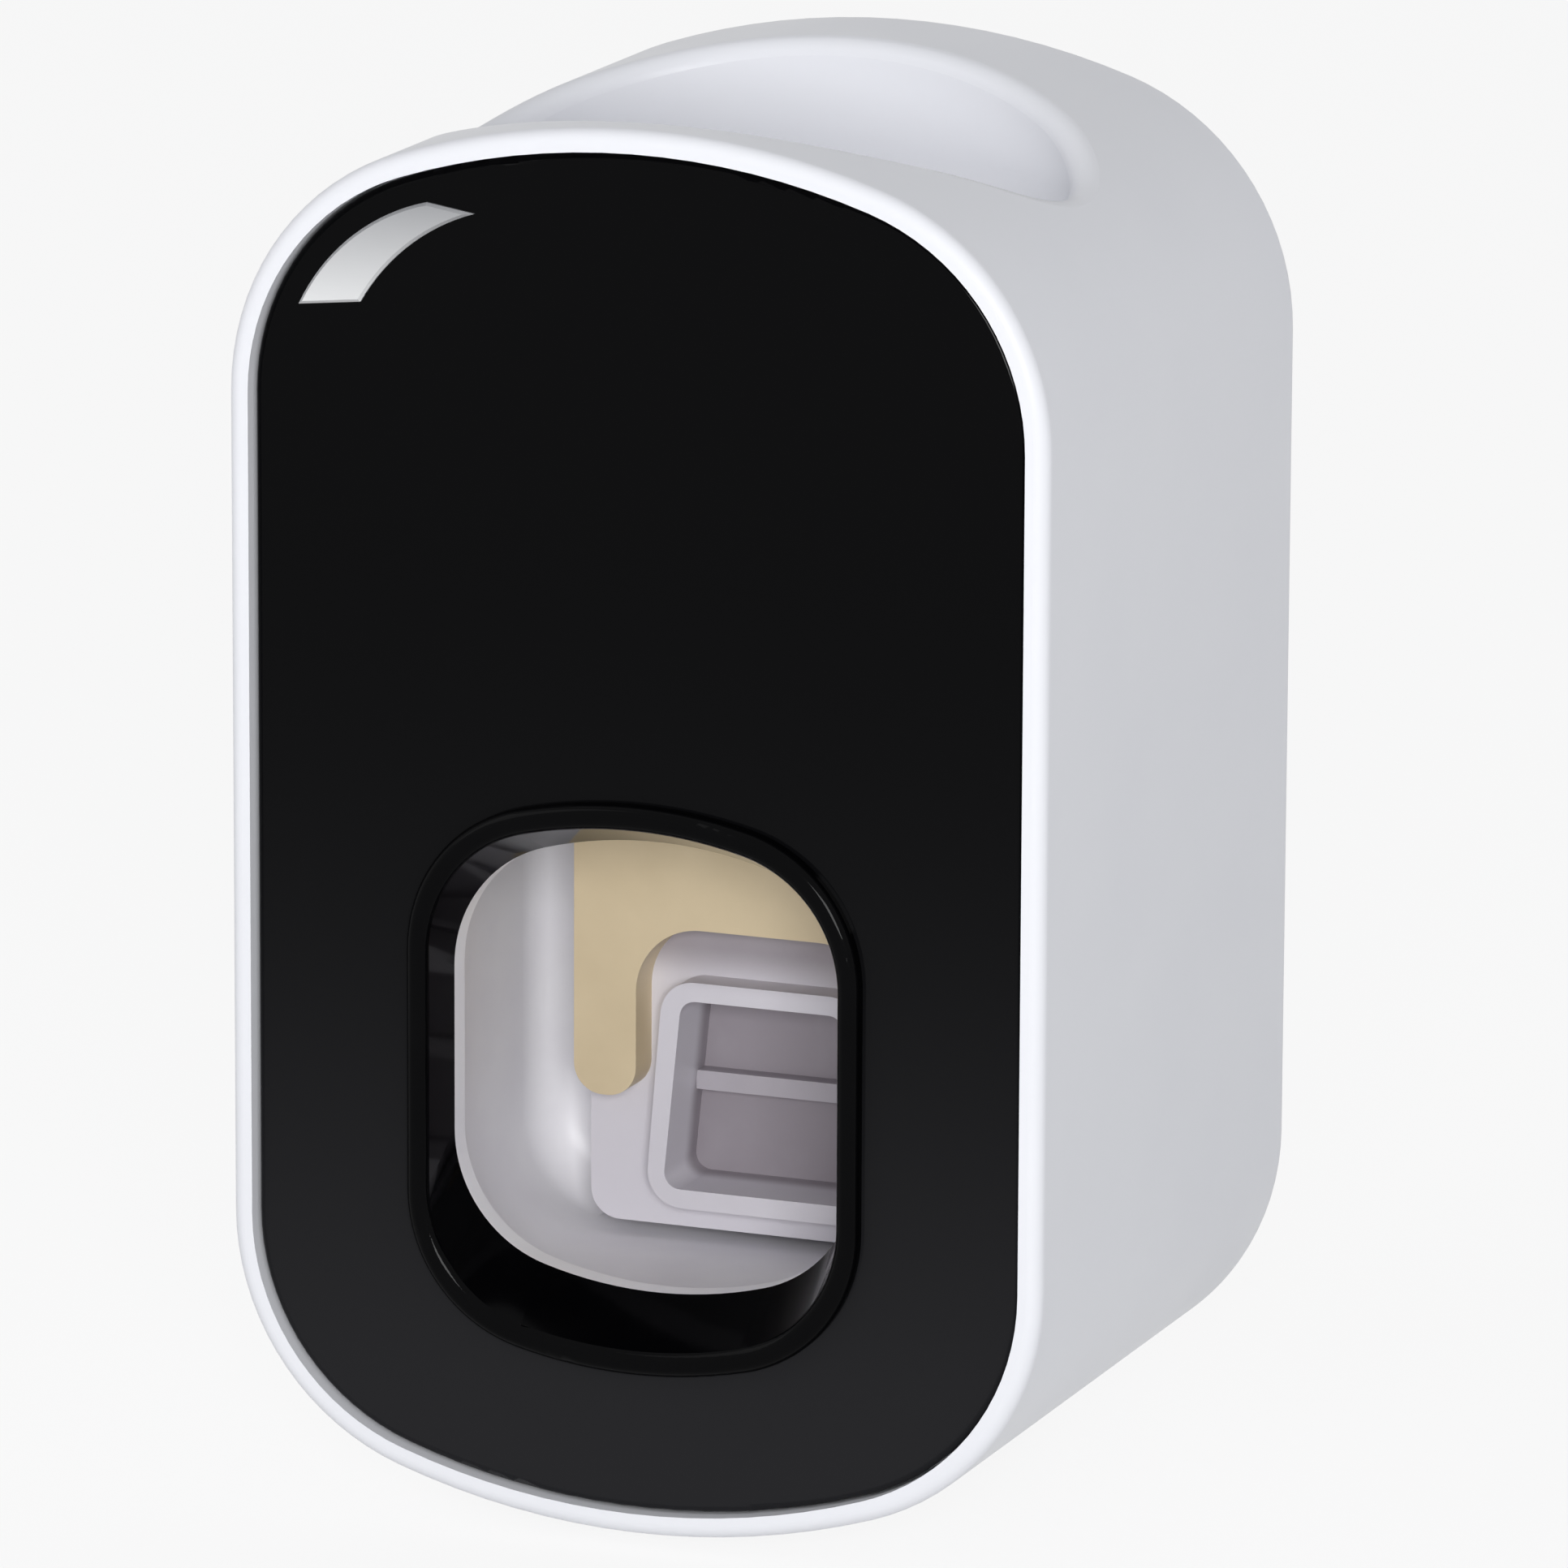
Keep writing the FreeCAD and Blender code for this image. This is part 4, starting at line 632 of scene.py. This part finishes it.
def socket_seal():
    low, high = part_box("socket_seal")
    centre = Vector(((low.x + high.x) / 2, (low.y + high.y) / 2, 0))
    outer = (high.x - low.x) / 2
    inner = frame_bore("tube_socket") + LIP_RISE
    mouth = inner + 0.55 * MM
    section = [(outer, low.z), (outer, low.z + SEAL_ROUND), (outer, high.z - SEAL_ROUND), (outer, high.z)]
    section += [(mouth, high.z), (inner, high.z - 0.9 * MM)]
    reach = high.z - low.z - 2.2 * MM
    for lip in range(LIP_COUNT):
        middle = high.z - 1.6 * MM - reach * lip / LIP_COUNT
        crest = inner - LIP_RISE
        section += [(inner, middle + 0.5 * MM), (crest, middle), (crest, middle - 0.2 * MM)]
        section += [(inner, middle - 0.6 * MM)]
    section += [(inner, low.z + SEAL_ROUND), (inner, low.z)]
    piece = link_piece("seal_sleeve", lathe(section, centre, UP), "housing", "silicone")
    soften(piece)
    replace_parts(piece, "socket_seal")
    return piece


def frame_bore(name):
    """Radius of a bore mount, in metres."""
    mount = next(item for item in frame["record"]["mounts"] if item["name"] == name)
    return mount["dims"]["r_mm"] * MM


seal = socket_seal()
print("seal:", len(seal.data.vertices), "points")

# %% [markdown]
# Outlet nozzle
#
# Paste leaves through a soft bill: a round sleeve that flattens to a slit, so that it closes by itself.
# The sleeve is turned like the others, then every ring below the collar is pressed flat, more and more
# towards the tip.

# %% Make the outlet nozzle
def outlet_nozzle():
    low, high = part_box("outlet_nozzle")
    centre = Vector(((low.x + high.x) / 2, (low.y + high.y) / 2, 0))
    radius = (high.x - low.x) / 2
    collar = low.z + 0.45 * (high.z - low.z)
    wall = 1.1 * MM
    section = [
        (radius, high.z),
        (radius, high.z - 0.3 * MM),
        (radius, collar + 0.5 * MM),
        (radius - 0.15 * MM, collar),
        (radius - 0.5 * MM, low.z + 1.3 * MM),
        (radius - 0.8 * MM, low.z + 0.25 * MM),
        (radius - 0.9 * MM, low.z),
        (radius - 1.5 * MM, low.z),
        (radius - 1.9 * MM, low.z + 1.0 * MM),
        (radius - wall, collar),
        (radius - wall, high.z - 0.3 * MM),
        (radius - wall, high.z),
    ]
    mesh = lathe(section, centre, UP)
    for vertex in mesh.vertices:
        press = max(0.0, (collar - vertex.co.z) / (collar - low.z))
        inside = (vertex.co - centre).xy.length < radius - 1.2 * MM and press > 0.2
        flat = 1 - 0.93 * press if inside else 1 - 0.62 * press
        vertex.co.y = centre.y + (vertex.co.y - centre.y) * flat
    piece = link_piece("outlet_bill", mesh, "housing", "silicone")
    soften(piece)
    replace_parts(piece, "outlet_nozzle")
    return piece


nozzle = outlet_nozzle()

# %% [markdown]
# Squeeze dome
#
# The dome is the pump's heart: a silicone cap that the lever's nose presses in. Its rim is clamped under
# the retainer. While the lever swings, the dome flattens towards the rim.

# %% Make the squeeze dome
DOME_STEPS = 10


def squeeze_dome():
    low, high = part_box("squeeze_dome")
    centre = Vector(((low.x + high.x) / 2, 0, (low.z + high.z) / 2))
    rim = (high.x - low.x) / 2
    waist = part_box("dome_retainer")[0].y + 1.2 * MM
    cap = rim - 1.95 * MM
    wall = 1.3 * MM
    height = high.y - waist
    section = [(rim, low.y), (rim, low.y + 0.2 * MM), (rim, waist - 0.2 * MM), (rim, waist)]
    turns = [math.pi / 2 * step / DOME_STEPS for step in range(DOME_STEPS)]
    section += [(cap * math.cos(a) ** 0.6, waist + height * math.sin(a)) for a in turns]
    section += [(0.4 * MM, high.y), (0.4 * MM, high.y - wall)]
    bore = cap - wall
    section += [(bore * math.cos(a) ** 0.6, waist + (height - wall) * math.sin(a)) for a in reversed(turns)]
    section += [(bore, low.y + 0.2 * MM), (bore, low.y)]
    piece = link_piece("pump_dome", lathe(section, centre, BACK), "housing", "silicone")
    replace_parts(piece, "squeeze_dome")
    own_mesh(piece)
    return piece


dome = squeeze_dome()

# %% [markdown]
# Valve, sealing ring and bumpers
#
# Three small soft pieces stay inside: the split valve under the socket, the black ring that seals the
# socket in the pump, and the two bumpers that the lever's bar rests on. They take their sizes from the
# model's boxes and are turned with rounded edges.

# %% Make the small soft pieces
def inlet_valve():
    low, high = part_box("inlet_valve")
    centre = Vector(((low.x + high.x) / 2, (low.y + high.y) / 2, 0))
    flange = (high.x - low.x) / 2
    seat = high.z - 1.2 * MM
    tube = 3.0 * MM
    bore = 2.1 * MM
    section = [
        (bore, high.z),
        (flange, high.z),
        (flange, high.z - 0.2 * MM),
        (flange, seat),
        (tube, seat),
        (tube, seat - 1.5 * MM),
        (0.5 * MM, low.z + 0.1 * MM),
        (0.15 * MM, low.z),
        (0.15 * MM, low.z + 0.8 * MM),
        (bore, seat - 1.4 * MM),
        (bore, high.z - 0.2 * MM),
    ]
    piece = link_piece("valve_bill", lathe(section, centre, UP), "housing", "silicone")
    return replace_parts(piece, "inlet_valve")


def sealing_ring():
    low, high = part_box("socket_o_ring")
    centre = (low + high) / 2
    wire = (high.z - low.z) / 2
    middle = (high.x - low.x) / 2 - wire
    turns = [math.tau * step / 16 for step in range(16)]
    section = [(middle + wire * math.cos(a), wire * math.sin(a)) for a in turns]
    piece = link_piece("sealing_ring", lathe(section, centre, UP), "housing", "black_rubber")
    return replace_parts(piece, "socket_o_ring")


def bumpers():
    low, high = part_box("stop_bumpers")
    radius = (high.z - low.z) / 2
    lip = 0.25 * MM
    section = [(0.2 * MM, low.y), (radius - 2 * lip, low.y), (radius - lip, low.y + lip / 2)]
    section += [(radius, low.y + 2 * lip), (radius, high.y), (0.2 * MM, high.y)]
    made = []
    for name, across in (("bumper_left", low.x + radius), ("bumper_right", high.x - radius)):
        centre = Vector((across, 0, (low.z + high.z) / 2))
        piece = link_piece(name, lathe(section, centre, BACK, closed=False), "housing", "silicone")
        made.append(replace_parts(piece, "stop_bumpers"))
    return made


small = [inlet_valve(), sealing_ring(), *bumpers()]
print("small soft pieces:", ", ".join(piece.name for piece in small))

# %% [markdown]
# Foam pad
#
# The bracket sticks to the wall with a slab of closed-cell foam. Die-cut foam bulges a little at its cut
# edge where it is squeezed. A grid whose outline is a rounded rectangle is raised into a slab, and the
# middle layer of its edge stands out by a fraction of a millimetre.

# %% Make the foam pad
PAD_CORNER_STEPS = 6
PAD_BULGE = 0.15 * MM


def rounded_outline(half_width, half_height, corner, steps):
    """Points round a rectangle with round corners, in the plane of the wall."""
    points = []
    for quarter, (side, end) in enumerate(((1, 1), (-1, 1), (-1, -1), (1, -1))):
        for step in range(steps + 1):
            angle = math.pi / 2 * (quarter + step / steps)
            points.append((
                side * (half_width - corner) + corner * math.cos(angle),
                end * (half_height - corner) + corner * math.sin(angle),
            ))
    return points


def foam_pad():
    low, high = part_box("adhesive_pad")
    half_width, half_height = (high.x - low.x) / 2, (high.z - low.z) / 2
    front = [(low.y, 0.35), (low.y, 0.05), (low.y * 0.7, 0.0)]
    rear = [(low.y * 0.3, 0.0), (high.y, 0.05), (high.y, 0.35)]
    layers = front + rear
    bm = bmesh.new()
    rings = []
    for depth, inset in layers:
        gap = PAD_BULGE * 2 * inset
        outline = rounded_outline(half_width - gap, half_height - gap, 2 * MM, PAD_CORNER_STEPS)
        rings.append([bm.verts.new((across, depth, up)) for across, up in outline])
    count = len(rings[0])
    for first, second in zip(rings, rings[1:]):
        for step in range(count):
            after = (step + 1) % count
            bm.faces.new((first[step], first[after], second[after], second[step]))
    bm.faces.new(rings[0])
    bm.faces.new(rings[-1])
    bmesh.ops.recalc_face_normals(bm, faces=bm.faces)
    mesh = bpy.data.meshes.new("foam_pad")
    bm.to_mesh(mesh)
    bm.free()
    piece = link_piece("foam_pad", mesh, "wall_mount", "foam_tape")
    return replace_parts(piece, "adhesive_pad")


pad = foam_pad()
print("pad:", [round(side / MM, 1) for side in pad.dimensions], "mm")

# %% [markdown]
# Return spring
#
# A torsion spring sits round the pin: one leg stands in the pump, the other presses on the lever from
# behind. When the lever swings the coil winds up. The wire is swept along a path of a straight leg, three
# turns and a second leg.

# %% Make the return spring
WIRE_SIDES = 12
COIL_TURNS = 3
COIL_STEPS = 32
LEG_STEPS = 6


def spring_path(low, high, pivot, wire):
    """Points of the wire: up leg, helix about the pin, down leg."""
    start, end = low.x + wire, high.x - wire
    coil = (high.y - low.y) / 2 - wire
    top, foot = high.z, low.z
    heights = [top + (pivot.z - top) * step / LEG_STEPS for step in range(LEG_STEPS)]
    path = [Vector((start, pivot.y + coil, height)) for height in heights]
    total = COIL_TURNS * COIL_STEPS
    for step in range(total + 1):
        angle = math.tau * step / COIL_STEPS
        across = start + (end - start) * step / total
        path.append(Vector((across, pivot.y + coil * math.cos(angle), pivot.z - coil * math.sin(angle))))
    path += [Vector((end, pivot.y + coil, pivot.z + (foot - pivot.z) * step / LEG_STEPS))
             for step in range(1, LEG_STEPS + 1)]
    return path


def sweep(path, radius, sides):
    """Round tube along a path; each ring's frame is carried over from the one before."""
    bm = bmesh.new()
    normal = Vector((1, 0, 0))
    rings = []
    for index, spot in enumerate(path):
        way = (path[min(index + 1, len(path) - 1)] - path[max(index - 1, 0)]).normalized()
        normal = (normal - way * normal.dot(way)).normalized()
        side = way.cross(normal)
        turns = [math.tau * step / sides for step in range(sides)]
        around = [normal * math.cos(turn) + side * math.sin(turn) for turn in turns]
        rings.append([bm.verts.new(spot + outward * radius) for outward in around])
    for first, second in zip(rings, rings[1:]):
        for step in range(sides):
            after = (step + 1) % sides
            bm.faces.new((first[step], first[after], second[after], second[step]))
    bm.faces.new(rings[0])
    bm.faces.new(rings[-1])
    bmesh.ops.recalc_face_normals(bm, faces=bm.faces)
    mesh = bpy.data.meshes.new("swept_wire")
    bm.to_mesh(mesh)
    bm.free()
    return mesh


def return_spring():
    low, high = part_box("return_spring")
    swing = next(joint for joint in frame["joints"] if joint["name"] == "trigger_swing")
    pivot = Vector(swing["pos_m"])
    wire = 0.35 * MM
    mesh = sweep(spring_path(low, high, pivot, wire), wire, WIRE_SIDES)
    piece = link_piece("coil_spring", mesh, None, "steel")
    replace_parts(piece, "return_spring")
    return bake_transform(piece)


spring = return_spring()
print("spring:", len(spring.data.vertices), "points")

# %% Update the scene
bpy.context.view_layer.update()
